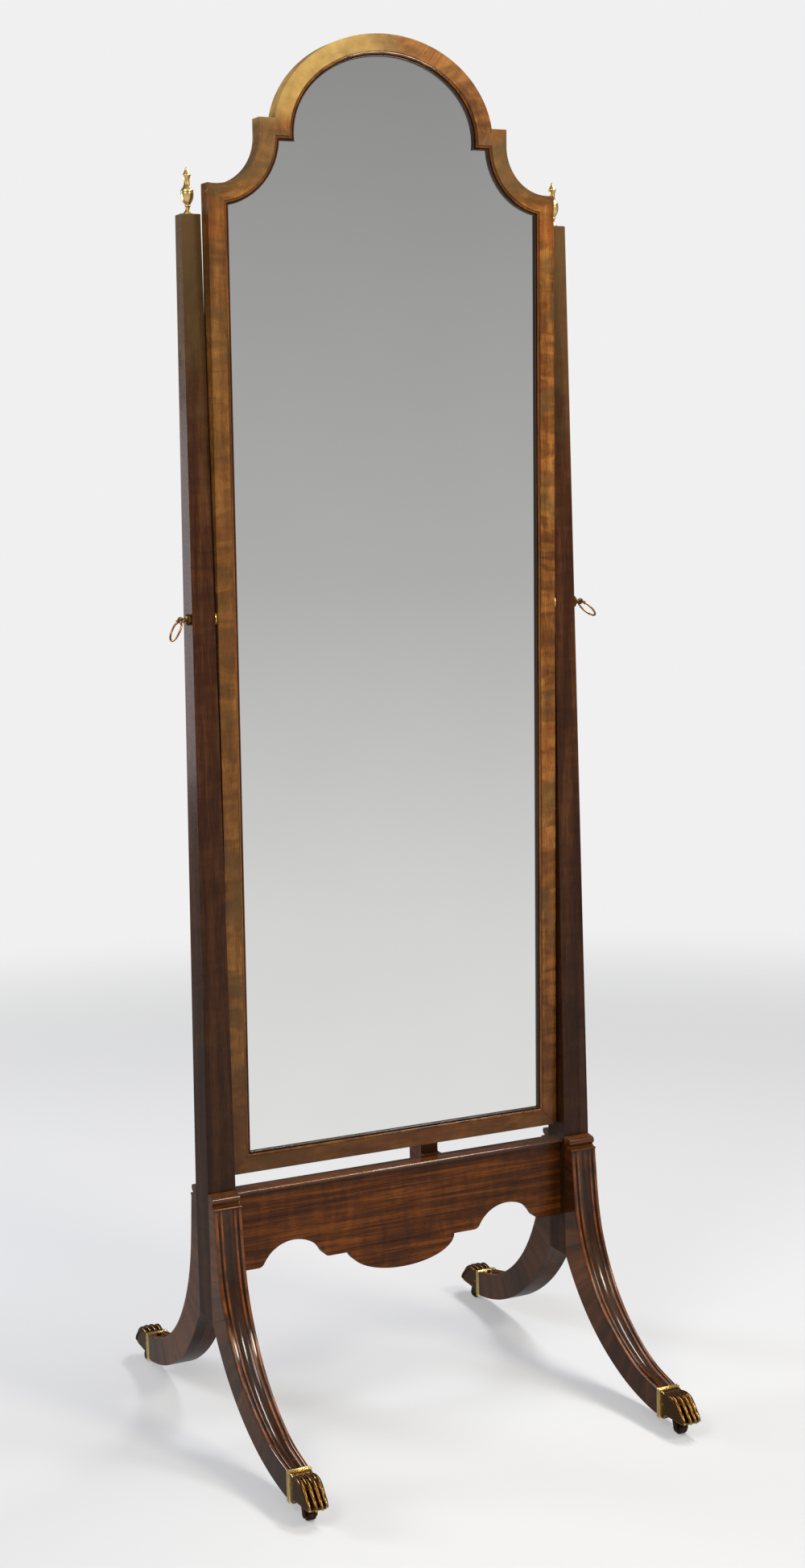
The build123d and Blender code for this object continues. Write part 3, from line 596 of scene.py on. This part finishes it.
def brassFinish(name, dirt, gloss, hollows=False, base=None, bright=0.3):
    finish = Finish(name)
    spots = finish.spots()
    cloud = finish.noise(spots, 160, 4, 0.6)
    speck = finish.noise(spots, 900, 3, 0.6)
    clean = base or brass["clean"]
    colour = finish.blend(cloud.rise(0.4, 0.7), clean, brass["pale"] if not base else base)
    stain = (cloud * 0.5 + speck * 0.5).rise(0.66 - dirt * 0.3, 0.86 - dirt * 0.3) * 0.75
    height = speck * 0.5 + cloud * 0.6
    if hollows:
        sunk = finish.attribute("hollow")
        stain = (stain + sunk.rise(0.5, 0.66) * 0.95 + (speck - 0.5) * 0.3).clip()
        # the proud crests are painted pale, a painted highlight
        proud = (sunk + (cloud - 0.5) * 0.2).rise(bright + 0.2, bright)
        colour = finish.blend(proud * 0.85, colour, brass["pale"])
    colour = finish.blend(stain, colour, brass["brown"])
    if hollows:
        colour = finish.blend((sunk.rise(0.58, 0.85) * 0.9).clip(), colour, brass["black"])
    return finish.surface({
        "Base Color": colour, "Metallic": 1.0,
        "Roughness": (gloss + stain * 0.32 + (speck - 0.5) * 0.1).clip(),
        "Normal": finish.bump(height, 0.18, 0.00015)})


def casterFinish(name):
    finish = Finish(name)
    spots = finish.spots()
    cloud = finish.noise(spots, 220, 4, 0.6)
    speck = finish.noise(spots, 1400, 3, 0.6)
    colour = finish.tone(cloud * 0.6 + speck * 0.4, [
        (0.3, paint(20, 13, 8)), (0.5, paint(48, 32, 19)), (0.68, paint(98, 68, 38))])
    return finish.surface({
        "Base Color": colour, "Metallic": 0.85, "Roughness": (0.4 + (cloud - 0.5) * 0.4).clip(),
        "Normal": finish.bump(cloud + speck * 0.5, 0.3, 0.0002)})


def steelFinish(name):
    finish = Finish(name)
    spots = finish.spots()
    cloud = finish.noise(spots, 300, 4, 0.6)
    rust = cloud.rise(0.52, 0.68)
    colour = finish.blend(rust * 0.8, paint(150, 146, 140), paint(92, 56, 34))
    return finish.surface({
        "Base Color": colour, "Metallic": 1.0, "Roughness": (0.34 + rust * 0.35).clip(),
        "Normal": finish.bump(cloud + finish.noise(spots, 2000) * 0.4, 0.25, 0.0001)})


silver = {"edge": (0.19, 0.206), "gloss": 0.012}


def mirrorFinish(name):
    # silver under old glass, faintly clouded, with a few tiny spots close to the edge
    finish = Finish(name)
    spots = finish.spots()
    haze = finish.noise(spots, 5, 3, 0.5)
    specks = finish.noise(spots, 240, 2, 0.5).rise(0.78, 0.83)
    edge = abs(finish.part(spots, 0)).rise(*silver["edge"])
    colour = finish.blend(haze, paint(240, 240, 239), paint(247, 247, 246))
    colour = finish.blend(specks * edge * 0.7, colour, paint(96, 92, 88))
    return finish.surface({
        "Base Color": colour, "Metallic": 1.0,
        "Roughness": (silver["gloss"] + specks * edge * 0.3 + haze * 0.012).clip()})


finishes.update({
    "finial": brassFinish("finialBrass", 0.5, 0.26, True, None, 0.2),
    "pivot": brassFinish("pivotBrass", 0.8, 0.3, False, paint(116, 84, 42)),
    "ring": brassFinish("ringBrass", 0.6, 0.26, False, paint(176, 124, 76)),
    "plate": brassFinish("plateBrass", 0.5, 0.32),
    "paw": brassFinish("pawBrass", 0.4, 0.24, True, brass["bronze"], 0.14),
    "pin": brassFinish("pinBrass", 0.8, 0.35),
    "caster": casterFinish("casterBronze"),
    "steel": steelFinish("screwSteel"),
    "mirror": mirrorFinish("silveredGlass"),
})
print("metal and glass finishes made")


# mirror frame, worked out as if it stood upright and then tipped to its rest angle

lean = {"pivotDepth": -8.0, "pivotHeight": 1016.0, "angle": 1.2}
tilt = radians(lean["angle"])
pivot = Vector((0, lean["pivotDepth"] * mm, lean["pivotHeight"] * mm))
tipped = Matrix.Translation(pivot) @ Matrix.Rotation(tilt, 4, "X") @ Matrix.Translation(-pivot)
untipped = tipped.inverted()

frameShape = {"coveCentre": (220.0, 1577.0), "coveRadius": 57.0, "archHeight": 1580.0,
              "archReach": 144.3, "archRise": 120.0, "low": 330.0, "half": 229.0, "softness": 0.7}
# how the sides of a member continue the figure of its face, and how far along each run starts
figureLay = {"sideShare": 0.3, "sideStart": 0.02, "shoulderArc": 0.067, "shoulderStart": 3,
             "archWidth": 0.13, "archArc": 0.125, "archStart": {True: 5, False: 7}}


def sideLay(spot):
    return figureLay["sideShare"] * (spot.y + figureLay["sideStart"])


def alongStile(spot):
    spot = untipped @ spot
    return frameShape["half"] * mm - abs(spot.x) + sideLay(spot), spot.z


def alongRail(spot):
    spot = untipped @ spot
    return spot.z - frameShape["low"] * mm + sideLay(spot), spot.x


def alongShoulder(spot):
    spot = untipped @ spot
    centre = frameShape["coveCentre"]
    run, rise = centre[0] * mm - abs(spot.x), centre[1] * mm - spot.z
    across = hypot(run, rise) - frameShape["coveRadius"] * mm + sideLay(spot)
    return across, atan2(rise, run) * figureLay["shoulderArc"] + figureLay["shoulderStart"]


def alongArch(spot):
    spot = untipped @ spot
    run = spot.x / (frameShape["archReach"] * mm)
    rise = (spot.z - frameShape["archHeight"] * mm) / (frameShape["archRise"] * mm)
    across = (1 - hypot(run, rise)) * figureLay["archWidth"] + sideLay(spot)
    return across, atan2(abs(run), rise) * figureLay["archArc"] + figureLay["archStart"][spot.x > 0]


layOf = {"stile": alongStile, "shoulder": alongShoulder, "arch": alongArch}


def dressWood(nodeName, name, finish, slotName, softness=0.6, lay=None, angle=35):
    piece = copyOfNode(nodeName, name)
    applyModifier(piece, "BEVEL", width=softness * mm, segments=2, limit_method="ANGLE",
                  angle_limit=radians(38))
    smoothShade(piece, angle)
    # flats stay flat beside their softened edges
    applyModifier(piece, "WEIGHTED_NORMAL", mode="FACE_AREA", keep_sharp=True)
    if lay:
        mapGrain(piece, lay)
    place(piece, finish, slotName, bodyOf(nodeName), nodeName)
    return piece


for side in sides:
    for part, lay in layOf.items():
        dressWood(f"{side}_{part}", f"{side}_{part}_veneered", finishes["frame"], "frame_veneer",
                  frameShape["softness"], lay)
dressWood("bottom_rail", "bottom_rail_veneered", finishes["frame"], "frame_veneer",
          frameShape["softness"], alongRail)
print("frame dressed")

slip = {"outerFront": -18.2, "innerFront": -16.6, "outerRound": 1.35, "innerRound": 0.9}


def makeSlip():
    # the two stepped bands become beads by rounding the edges of their front faces
    piece = copyOfNode("glass_slip", "glass_slip_beads")
    piece.data.transform(untipped)
    openMesh(piece)
    for front, size in ((slip["outerFront"], slip["outerRound"]), (slip["innerFront"], slip["innerRound"])):
        pickEdges(piece, lambda edge: all(abs(vertex.co.y / mm - front) < 0.05 for vertex in edge.verts)
                  and len(edge.link_faces) == 2 and edge.calc_face_angle() > 0.6)
        bpy.ops.mesh.bevel(offset=size * mm, segments=4, profile=0.5, affect="EDGES", clamp_overlap=True)
    closeMesh()
    markDepth(piece, "depth", lambda spot: spot.y - slip["outerFront"] * mm)
    piece.data.transform(tipped)
    smoothShade(piece, 40)
    place(piece, finishes["slip"], "slip_wood", "mirror", "glass_slip")


makeSlip()
dressWood("backboard", "backboard_panel", finishes["back"], "backboard_wood", 0.8)
print("slip and backboard made")


# stand

legShape = {"faceCentre": (266.99, 269.05), "faceRadius": 221.5,
            "neck": (46.3, 250.0), "ankle": (240.0, 49.2),
            "topWidth": 36.0, "ankleWidth": 27.5, "centre": 249.5, "spans": 7, "arcScale": 0.24}


def legPlace(spot):
    # angle and distance about the centre of the curved upper face
    across, reach, height = abs(spot.x) / mm, abs(spot.y) / mm, spot.z / mm
    centre = legShape["faceCentre"]
    run, rise = centre[0] - reach, centre[1] - height
    angle = atan2(rise, run)
    first = atan2(centre[1] - legShape["neck"][1], centre[0] - legShape["neck"][0])
    last = atan2(centre[1] - legShape["ankle"][1], centre[0] - legShape["ankle"][0])
    share = (angle - first) / (last - first)
    spans = legShape["spans"]
    narrowing = min(max((share * spans - 1) / (spans - 1), 0), 1) ** 1.5
    half = (legShape["topWidth"] + (legShape["ankleWidth"] - legShape["topWidth"]) * narrowing) / 2
    return (across - legShape["centre"]) / half, angle, hypot(run, rise) - legShape["faceRadius"]


def makeLegs():
    for corner in corners:
        node = f"{corner}_leg"
        piece = copyOfNode(node, f"{corner}_leg_moulded", False)
        smoothShade(piece, 32)
        offset = 2.0 * corners.index(corner)

        def lay(spot):
            across, angle, depth = legPlace(spot)
            return across / legZones["acrossScale"], angle * legShape["arcScale"] + offset

        mapGrain(piece, lay)
        markDepth(piece, "depth", lambda spot: legPlace(spot)[2] * mm)
        place(piece, finishes["leg"], "leg_wood", "stand", node)
        dressWood(f"{corner}_leg_cap", f"{corner}_leg_cap_moulded", finishes["cap"], "leg_wood", 0.3)


for side in sides:
    dressWood(f"{side}_upright", f"{side}_upright_tapered", finishes["upright"], "upright_wood", 0.6)
makeLegs()
dressWood("apron_board", "apron_board_shaped", finishes["apron"], "apron_wood", 0.6)
dressWood("apron_capping", "apron_capping_moulded", finishes["capping"], "apron_wood", 0.3)
dressWood("stop_block", "stop_block_cut", finishes["block"], "block_wood", 0.8)
print("stand dressed")


# turned brass

finialShape = {
    "foot": [(5.3, 0.0), (5.8, 0.5), (5.8, 1.1), (5.2, 1.7), (4.9, 2.0)],
    "stem": [(4.9, 2.0), (3.5, 3.6), (2.6, 5.6), (2.5, 7.6), (2.9, 8.6)],
    "knop": [(3.3, 8.8), (3.6, 9.4), (3.6, 10.0), (3.2, 10.6)],
    "bowl": [(3.2, 10.6), (3.9, 12.2), (5.5, 14.6), (6.9, 18.2), (7.5, 22.4), (7.45, 24.7)],
    "band": [(6.8, 25.0), (6.8, 25.4), (7.45, 25.7), (7.5, 26.6)],
    "neck": [(7.5, 26.6), (6.9, 28.4), (5.0, 30.6), (3.7, 33.4), (3.3, 37.5), (3.5, 40.6), (4.2, 43.2)],
    "disc": [(4.9, 44.2), (5.0, 44.9), (4.7, 45.6), (3.9, 46.2)],
    "tip": [(3.9, 46.2), (3.3, 47.4), (2.4, 49.2), (1.7, 50.8), (1.5, 51.8), (1.1, 52.9), (0.1, 53.8)],
    "centre": 243.5, "base": 1486.5}


def makeFinials():
    profile = []
    for key in ("foot", "stem", "knop", "bowl", "band", "neck", "disc", "tip"):
        run = finialShape[key]
        run = flow(run, 3) if key in ("stem", "bowl", "neck", "tip") else run
        profile += [step for step in run if not profile
                    or hypot(step[0] - profile[-1][0], step[1] - profile[-1][1]) > 0.05]
    peg = [(2.5, -14.0), (2.5, -0.02)]
    piece = turned("finial_turned", peg + profile, 56)
    smoothShade(piece, 50)
    markHollows(piece, 6, 900)
    for side, sign in (("left", -1), ("right", 1)):
        twin = copyPiece(piece, f"{side}_finial_turned", Matrix.Translation(
            (sign * finialShape["centre"] * mm, 0, finialShape["base"] * mm)))
        smoothShade(twin, 50)
        place(twin, finishes["finial"], "turned_brass", "stand", f"{side}_finial")
    bpy.data.objects.remove(piece)


makeFinials()

screwShape = {"shaft": [(3.0, 218.0), (3.0, 262.0)],
              "boss": [(5.6, 260.7), (6.5, 261.0), (7.3, 262.9), (7.5, 263.3), (7.2, 263.7), (5.1, 265.6),
                       (4.3, 265.8)],
              "neck": [(3.0, 265.6), (2.6, 266.2), (2.1, 267.6), (2.0, 268.6), (2.3, 269.6)],
              "eyeReach": 272.71, "eyeRadius": 2.75, "eyeStock": 1.14}
ringShape = {"radius": 13.4, "stock": 1.2, "collarTurn": 36.0, "leans": {"left": 26.0, "right": 45.0},
             "collar": [(1.2, -1.1), (1.9, -0.9), (2.1, -0.5), (2.1, 0.5), (1.9, 0.9), (1.2, 1.1)],
             "spur": [(1.35, 1.0), (1.3, 1.9), (0.85, 2.5), (0.65, 3.3), (0.7, 3.7), (0.12, 4.1)]}


def makePivotScrews():
    shaft = turned("shaft", screwShape["shaft"], 24)
    boss = turned("boss", screwShape["boss"], 8)
    boss.data.transform(Matrix.Rotation(pi / 8, 4, "Z"))
    applyModifier(boss, "BEVEL", width=0.12 * mm, segments=2, limit_method="ANGLE", angle_limit=radians(25))
    neck = turned("neck", flow(screwShape["neck"], 3), 24)
    upright = joinPieces("pivotScrew", [shaft, boss, neck])
    upright.data.transform(Matrix.Rotation(pi / 2, 4, "Y"))
    eye = hoop("eye", screwShape["eyeRadius"], screwShape["eyeStock"], 16, 40, 1.5)
    eye.data.transform(Matrix.Translation((screwShape["eyeReach"] * mm, 0, 0)))
    piece = joinPieces("pivotScrew", [upright, eye])
    smoothShade(piece, 30)
    for side, sign in (("left", -1), ("right", 1)):
        twin = copyPiece(piece, f"{side}_pivot_screw_cast",
                         Matrix.Translation(pivot) @ Matrix.Scale(sign, 4, (1, 0, 0)))
        smoothShade(twin, 30)
        place(twin, finishes["pivot"], "turned_brass", f"{side}_pivot_screw", f"{side}_pivot_screw")
    bpy.data.objects.remove(piece)


def makeRings():
    body = hoop("ring", ringShape["radius"], ringShape["stock"], 16, 96)
    body.data.transform(Matrix.Rotation(pi / 2, 4, "Z"))
    parts = [body]
    for turn in (-ringShape["collarTurn"], ringShape["collarTurn"]):
        spot = Matrix.Rotation(radians(turn), 4, "X") @ Matrix.Translation((0, 0, ringShape["radius"] * mm))
        collar = turned("collar", ringShape["collar"], 24)
        collar.data.transform(spot @ Matrix.Rotation(pi / 2, 4, "X"))
        parts.append(collar)
        for flip in (0, pi):
            spur = turned("spur", ringShape["spur"], 16)
            spur.data.transform(spot @ Matrix.Rotation(flip, 4, "X"))
            parts.append(spur)
    piece = joinPieces("ring", parts)
    for side, sign in (("left", -1), ("right", 1)):
        swing = Matrix.Rotation(-radians(ringShape["leans"][side]), 4, "Y")
        eye = Matrix.Translation((screwShape["eyeReach"] * mm, 0, 0))
        hang = eye @ swing @ Matrix.Translation((0, 0, -ringShape["radius"] * mm))
        twin = copyPiece(piece, f"{side}_ring_handle_cast",
                         Matrix.Translation(pivot) @ Matrix.Scale(sign, 4, (1, 0, 0)) @ hang)
        smoothShade(twin, 40)
        place(twin, finishes["ring"], "turned_brass", f"{side}_ring_handle", f"{side}_ring_handle")
    bpy.data.objects.remove(piece)


makePivotScrews()
makeRings()
print("turned brass made")


# paw caps and casters, made for the rear right corner and mirrored

paw = {"centre": 249.5, "toes": [-10.5, -3.5, 3.5, 10.5], "outerBack": 3.5, "voxel": 0.5,
       "path": [(246.0, 44.2), (252.0, 45.6), (259.0, 46.8), (266.0, 47.2), (273.0, 46.4), (280.0, 43.4),
                (286.5, 38.8), (291.0, 34.0), (295.0, 30.2), (298.5, 26.6), (300.5, 24.0), (301.5, 22.2)],
       "radii": [1.0, 1.6, 2.2, 2.8, 3.3, 3.4, 3.0, 2.8, 2.9, 2.5, 2.1, 1.5],
       "core": [(240.0, 13.0, 48.3, 1.0), (247.5, 13.0, 48.6, 1.0), (251.5, 13.2, 48.0, 1.0),
                (257.5, 19.8, 46.4, 1.0), (264.0, 19.8, 45.4, 0.98), (270.0, 19.9, 44.2, 0.97),
                (276.0, 20.0, 41.8, 0.96), (282.0, 20.0, 37.6, 0.95), (287.0, 20.1, 32.6, 0.93),
                (291.0, 20.2, 29.0, 0.92), (296.5, 20.8, 24.2, 0.84)],
       "half": 12.9, "cuff": {"low": 13.0, "high": 48.4, "half": 13.7},
       "ribs": [(240.0, 1.3, 1.3), (241.5, 1.0, 0.6), (242.9, 1.0, 0.6), (244.3, 2.0, 1.3)]}


def makePaw():
    parts = [block("core", paw["core"], paw["half"])]
    for middle in paw["toes"]:
        back = paw["outerBack"] if abs(middle) > 5 else 0
        path = [(reach - back * min(max((reach - 250) / 40, 0), 1), height) for reach, height in paw["path"]]
        steps = flow([(a[0], a[1], b) for a, b in zip(path, paw["radii"])], 2)
        toe = limb("toe", [step[:2] for step in steps], [step[2] for step in steps], 18)
        toe.data.transform(Matrix.Translation((middle * mm, 0, 0)))
        parts.append(toe)
    piece = joinPieces("paw", parts)
    applyModifier(piece, "REMESH", mode="VOXEL", voxel_size=paw["voxel"] * mm, adaptivity=0)
    applyModifier(piece, "SMOOTH", factor=0.5, iterations=3)
    ribs = []
    cuff = paw["cuff"]
    for start, length, relief in paw["ribs"]:
        low, high = cuff["low"] - relief / 2, cuff["high"] + relief
        stations = [(reach, low, high, 1.0) for reach in (start, start + length)]
        rib = block("rib", stations, cuff["half"] + relief)
        applyModifier(rib, "BEVEL", width=0.3 * mm, segments=3, limit_method="ANGLE")
        ribs.append(rib)
    piece = joinPieces("paw", [piece] + ribs)
    piece.data.transform(Matrix.Translation((paw["centre"] * mm, 0, 0)))
    markHollows(piece, 7, 1500)
    return piece


casterShape = {"reach": 271.5, "radius": 8.0,
               "wheel": [(1.6, -5.4), (2.7, -5.4), (3.0, -5.1), (3.0, -4.4), (3.4, -3.9), (5.4, -3.9),
                         (6.0, -4.3), (6.3, -5.0), (6.8, -5.45), (7.3, -5.2), (7.8, -4.2), (8.0, -3.0),
                         (8.0, 0.0)],
               "axle": [(0.9, -7.9), (1.35, -7.7), (1.5, -7.3), (1.5, 7.3), (1.35, 7.7), (0.9, 7.9)]}


def makeCasters(corner, matrix):
    fork = copyOfNode(f"{corner}_caster_fork", f"{corner}_caster_fork_cast")
    applyModifier(fork, "BEVEL", width=0.35 * mm, segments=2, limit_method="ANGLE", angle_limit=radians(38))
    smoothShade(fork, 40)
    place(fork, finishes["caster"], "caster_metal", bodyOf(f"{corner}_caster_fork"), f"{corner}_caster_fork")
    for part, piece in casterParts.items():
        node = f"{corner}_caster_{part}"
        twin = copyPiece(piece, f"{node}_turned", matrix)
        smoothShade(twin, 35)
        place(twin, finishes["caster"], "caster_metal", bodyOf(node), node)


def turnedAcross(name, profile, rim):
    piece = turned(name, profile, rim)
    spot = Vector((paw["centre"], casterShape["reach"], casterShape["radius"])) * mm
    piece.data.transform(Matrix.Translation(spot) @ Matrix.Rotation(pi / 2, 4, "Y"))
    return piece


halfWheel = casterShape["wheel"]
wholeWheel = halfWheel + [(wide, -high) for wide, high in reversed(halfWheel[:-1])]
casterParts = {
    "wheel": turnedAcross("wheel", wholeWheel, 48),
    "axle": turnedAcross("axle", casterShape["axle"], 20)}
pawCap = makePaw()
for corner in corners:
    flip = Matrix.Diagonal((-1 if "left" in corner else 1, -1 if "front" in corner else 1, 1, 1))
    twin = copyPiece(pawCap, f"{corner}_paw_cap_cast", flip)
    smoothShade(twin, 45)
    place(twin, finishes["paw"], "paw_brass", "stand", f"{corner}_paw_cap")
    makeCasters(corner, flip)
for spare in [pawCap, *casterParts.values()]:
    bpy.data.objects.remove(spare)
print("paws and casters made")


# slotted screws

screwHead = {"slotWidth": 0.9, "slotDepth": 0.7,
             "dome": [(1, 0.5), (0.86, 0.8), (0.55, 0.95), (0.2, 1)]}


def slottedScrew(radius, height, shank, length):
    # head up, with a slot cut across it; the shank hangs below
    dome = [(radius * wide, height * high) for wide, high in screwHead["dome"]]
    piece = turned("screw", [(shank, -length), (shank, 0.0), (radius * 0.96, 0.02), (radius, 0.3)] + dome, 28)
    stations = [(reach, height - screwHead["slotDepth"], height + 1, 1) for reach in (-radius - 1, radius + 1)]
    cutter = block("slot", stations, screwHead["slotWidth"] / 2)
    applyModifier(piece, "BOOLEAN", operation="DIFFERENCE", object=cutter, solver="EXACT")
    bpy.data.objects.remove(cutter)
    return piece


def screwSet(nodeName, name, finish, slotName, places, sizes, matrix=Matrix.Identity(4)):
    first = slottedScrew(*sizes)
    copies = []
    for index, (spot, turn) in enumerate(places):
        facingBack = Matrix.Translation(Vector(spot) * mm) @ Matrix.Rotation(-pi / 2, 4, "X")
        lay = facingBack @ Matrix.Rotation(radians(turn), 4, "Z")
        copies.append(copyPiece(first, f"screw{index}", matrix @ lay))
    bpy.data.objects.remove(first)
    piece = joinPieces(name, copies)
    smoothShade(piece, 35)
    place(piece, finish, slotName, bodyOf(nodeName), nodeName)


# size is the head's radius and height, then the shank's radius and length; slots stand at odd angles
boardScrew = {"reach": 210.1, "depth": 2.0, "rises": (380.0, 600.0, 820.0, 1220.0, 1440.0),
              "size": (3.0, 2.0, 1.5, 5.9), "slots": {-1: (20, 63), 1: (75, 47)}}
blockScrew = {"places": [((53.0, 30.0, 274.0), 15), ((53.0, 30.0, 293.0), 70)],
              "size": (4.0, 3.0, 2.0, 32.9)}
boardScrews = []
for index, rise in enumerate(boardScrew["rises"]):
    for side, (first, step) in boardScrew["slots"].items():
        boardScrews.append(((side * boardScrew["reach"], boardScrew["depth"], rise), first + step * index))
screwSet("backboard_screws", "backboard_screws_slotted", finishes["steel"], "steel_screws",
         boardScrews, boardScrew["size"], tipped)
screwSet("stop_block_screws", "stop_block_screws_slotted", finishes["steel"], "steel_screws",
         blockScrew["places"], blockScrew["size"])

plainNodes = {"mirror_glass": "mirror", "paw_pins": "pin", "leg_dowels": "dowel", "glass_blocks": "block",
              "pivot_plate_screws": "plate"}
for side in sides:
    plainNodes[f"{side}_pivot_plate"] = "plate"
    plainNodes[f"{side}_pivot_washer"] = "plate"
for nodeName, key in plainNodes.items():
    for slot in nodes[nodeName].material_slots:
        slot.material = finishes[key].material
print("screws and inner pieces done")


# floor, light and camera

studio = {"background": 0.871, "floorRadius": 4.0, "floorDrop": 0.0005, "floorTone": (0.43, 0.44, 0.466),
          "floorLift": 0.3, "fadeFrom": 1.5, "fadeTo": 3.2,
          "sky": [(0.0, 0.5), (0.34, 0.8), (0.385, 0.72), (0.46, 0.465), (0.52, 0.375), (0.58, 0.275),
                  (0.68, 0.3), (0.85, 0.55), (1.0, 0.6)],
          "behindTone": 0.06, "behindShare": 0.8}


def makeFloor():
    clearSelection()
    bpy.ops.mesh.primitive_circle_add(
        vertices=96, radius=studio["floorRadius"], fill_type="NGON", location=(0, 0, -studio["floorDrop"]))
    floor = bpy.context.object
    floor.name = "studioFloor"
    applyPlace(floor)
    finish = Finish("floorPaper")
    spots = finish.spots()
    across, deep = finish.part(spots, 0), finish.part(spots, 1)
    away = across * across + deep * deep
    fade = away.rise(studio["fadeFrom"] ** 2, studio["fadeTo"] ** 2)
    path = finish.add("ShaderNodeLightPath")
    camera = Wire(finish, path.outputs["Is Camera Ray"])
    glossy = Wire(finish, path.outputs["Is Glossy Ray"])
    paper = finish.noise(spots, 40, 3) * 0.01
    tone = finish.blend(paper, studio["floorTone"], tuple(part * 0.9 for part in studio["floorTone"]))
    cloth = finish.add("ShaderNodeBsdfDiffuse", None, {"Color": tone})
    glow = finish.add("ShaderNodeEmission", None, {
        "Color": (1, 1, 1, 1), "Strength": camera * studio["floorLift"]})
    both = finish.add("ShaderNodeAddShader", None, {
        0: Wire(finish, cloth.outputs[0]), 1: Wire(finish, glow.outputs[0])})
    clear = finish.add("ShaderNodeBsdfTransparent")
    mixed = finish.add("ShaderNodeMixShader", None, {
        0: (fade + glossy).clip(), 1: Wire(finish, both.outputs[0]), 2: Wire(finish, clear.outputs[0])})
    finish.add("ShaderNodeOutputMaterial", None, {0: Wire(finish, mixed.outputs[0])})
    floor.data.materials.append(finish.material)


def makeWorld():
    # the camera sees the plain backdrop
    # the object sees a studio that is pale low down, grey ahead, paler overhead and dark behind
    world = bpy.data.worlds.new("studioWorld")
    bpy.context.scene.world = world
    finish = Finish("studioWorld", world)
    source = finish.add("ShaderNodeTexCoord")
    height = finish.part(Wire(finish, source.outputs["Generated"]), 2)
    behind = finish.part(Wire(finish, source.outputs["Generated"]), 1).rise(-0.15, 0.25)
    tone = finish.tone(height * 0.5 + 0.5, [(spot, (grey,) * 3) for spot, grey in studio["sky"]])
    tone = finish.blend(behind * studio["behindShare"], tone, (studio["behindTone"],) * 3)
    path = finish.add("ShaderNodeLightPath")
    seen = Wire(finish, path.outputs["Is Camera Ray"])
    colour = finish.blend(seen, tone, (studio["background"],) * 3)
    back = finish.add("ShaderNodeBackground", None, {"Color": colour, "Strength": 1.0})
    finish.add("ShaderNodeOutputWorld", None, {0: Wire(finish, back.outputs[0])})


lamps = {
    "leftWindow": {"at": (-2.3, 2.0, 1.25), "to": (-0.1, 0, 1.0), "size": (0.9, 0.8),
                   "power": 55, "colour": (0.94, 0.95, 1.0)},
    "frontKey": {"at": (1.25, -2.45, 2.75), "to": (0, 0, 1.5), "size": (0.7, 0.7),
                 "power": 56, "colour": (1.0, 0.9, 0.7)},
    "sideGlow": {"at": (-1.0, 2.1, 0.95), "to": (-0.25, 0, 1.0), "size": (0.45, 0.8),
                 "power": 1.6, "colour": (0.95, 0.93, 1.0)},
    "leftFill": {"at": (-2.2, -1.5, 2.8), "to": (0, 0, 1.3), "size": (1.2, 1.2),
                 "power": 34, "colour": (1.0, 0.95, 0.86)},
    "overhead": {"at": (1.15, -0.1, 2.6), "to": (0.1, -0.15, 0.3), "size": (1.5, 0.35),
                 "power": 42, "colour": (1.0, 0.98, 0.95)},
}


def makeLamps():
    for name, lamp in lamps.items():
        data = bpy.data.lights.new(name, "AREA")
        data.shape = "RECTANGLE"
        data.size, data.size_y = lamp["size"]
        data.energy = lamp["power"]
        data.color = lamp["colour"]
        light = bpy.data.objects.new(name, data)
        bpy.context.scene.collection.objects.link(light)
        light.location = lamp["at"]
        light.rotation_euler = (Vector(lamp["at"]) - Vector(lamp["to"])).to_track_quat("Z", "Y").to_euler()


view = {"place": (-1.19666, -2.54501, 1.1692), "turn": 25.49, "drop": 7.5, "roll": 1.26, "lens": 52.10,
        "shift": (0.0004, -0.0003)}


def makeCamera():
    data = bpy.data.cameras.new("photoCamera")
    data.sensor_fit = "VERTICAL"
    data.sensor_height = 36
    data.lens = view["lens"]
    data.shift_x, data.shift_y = view["shift"]
    camera = bpy.data.objects.new("photoCamera", data)
    bpy.context.scene.collection.objects.link(camera)
    turn, drop, roll = (radians(view[key]) for key in ("turn", "drop", "roll"))
    ahead = Vector((sin(turn) * cos(drop), cos(turn) * cos(drop), -sin(drop)))
    right = Vector((cos(turn), -sin(turn), 0))
    down = ahead.cross(right)
    across = right * cos(roll) + down * sin(roll)
    below = down * cos(roll) - right * sin(roll)
    facing = Matrix((across, -below, -ahead)).transposed().to_4x4()
    camera.matrix_world = Matrix.Translation(view["place"]) @ facing
    bpy.context.scene.camera = camera


makeFloor()
makeWorld()
makeLamps()
makeCamera()
bpy.context.scene.view_settings.view_transform = "Standard"
clearSelection()
print("floor, light and camera set")
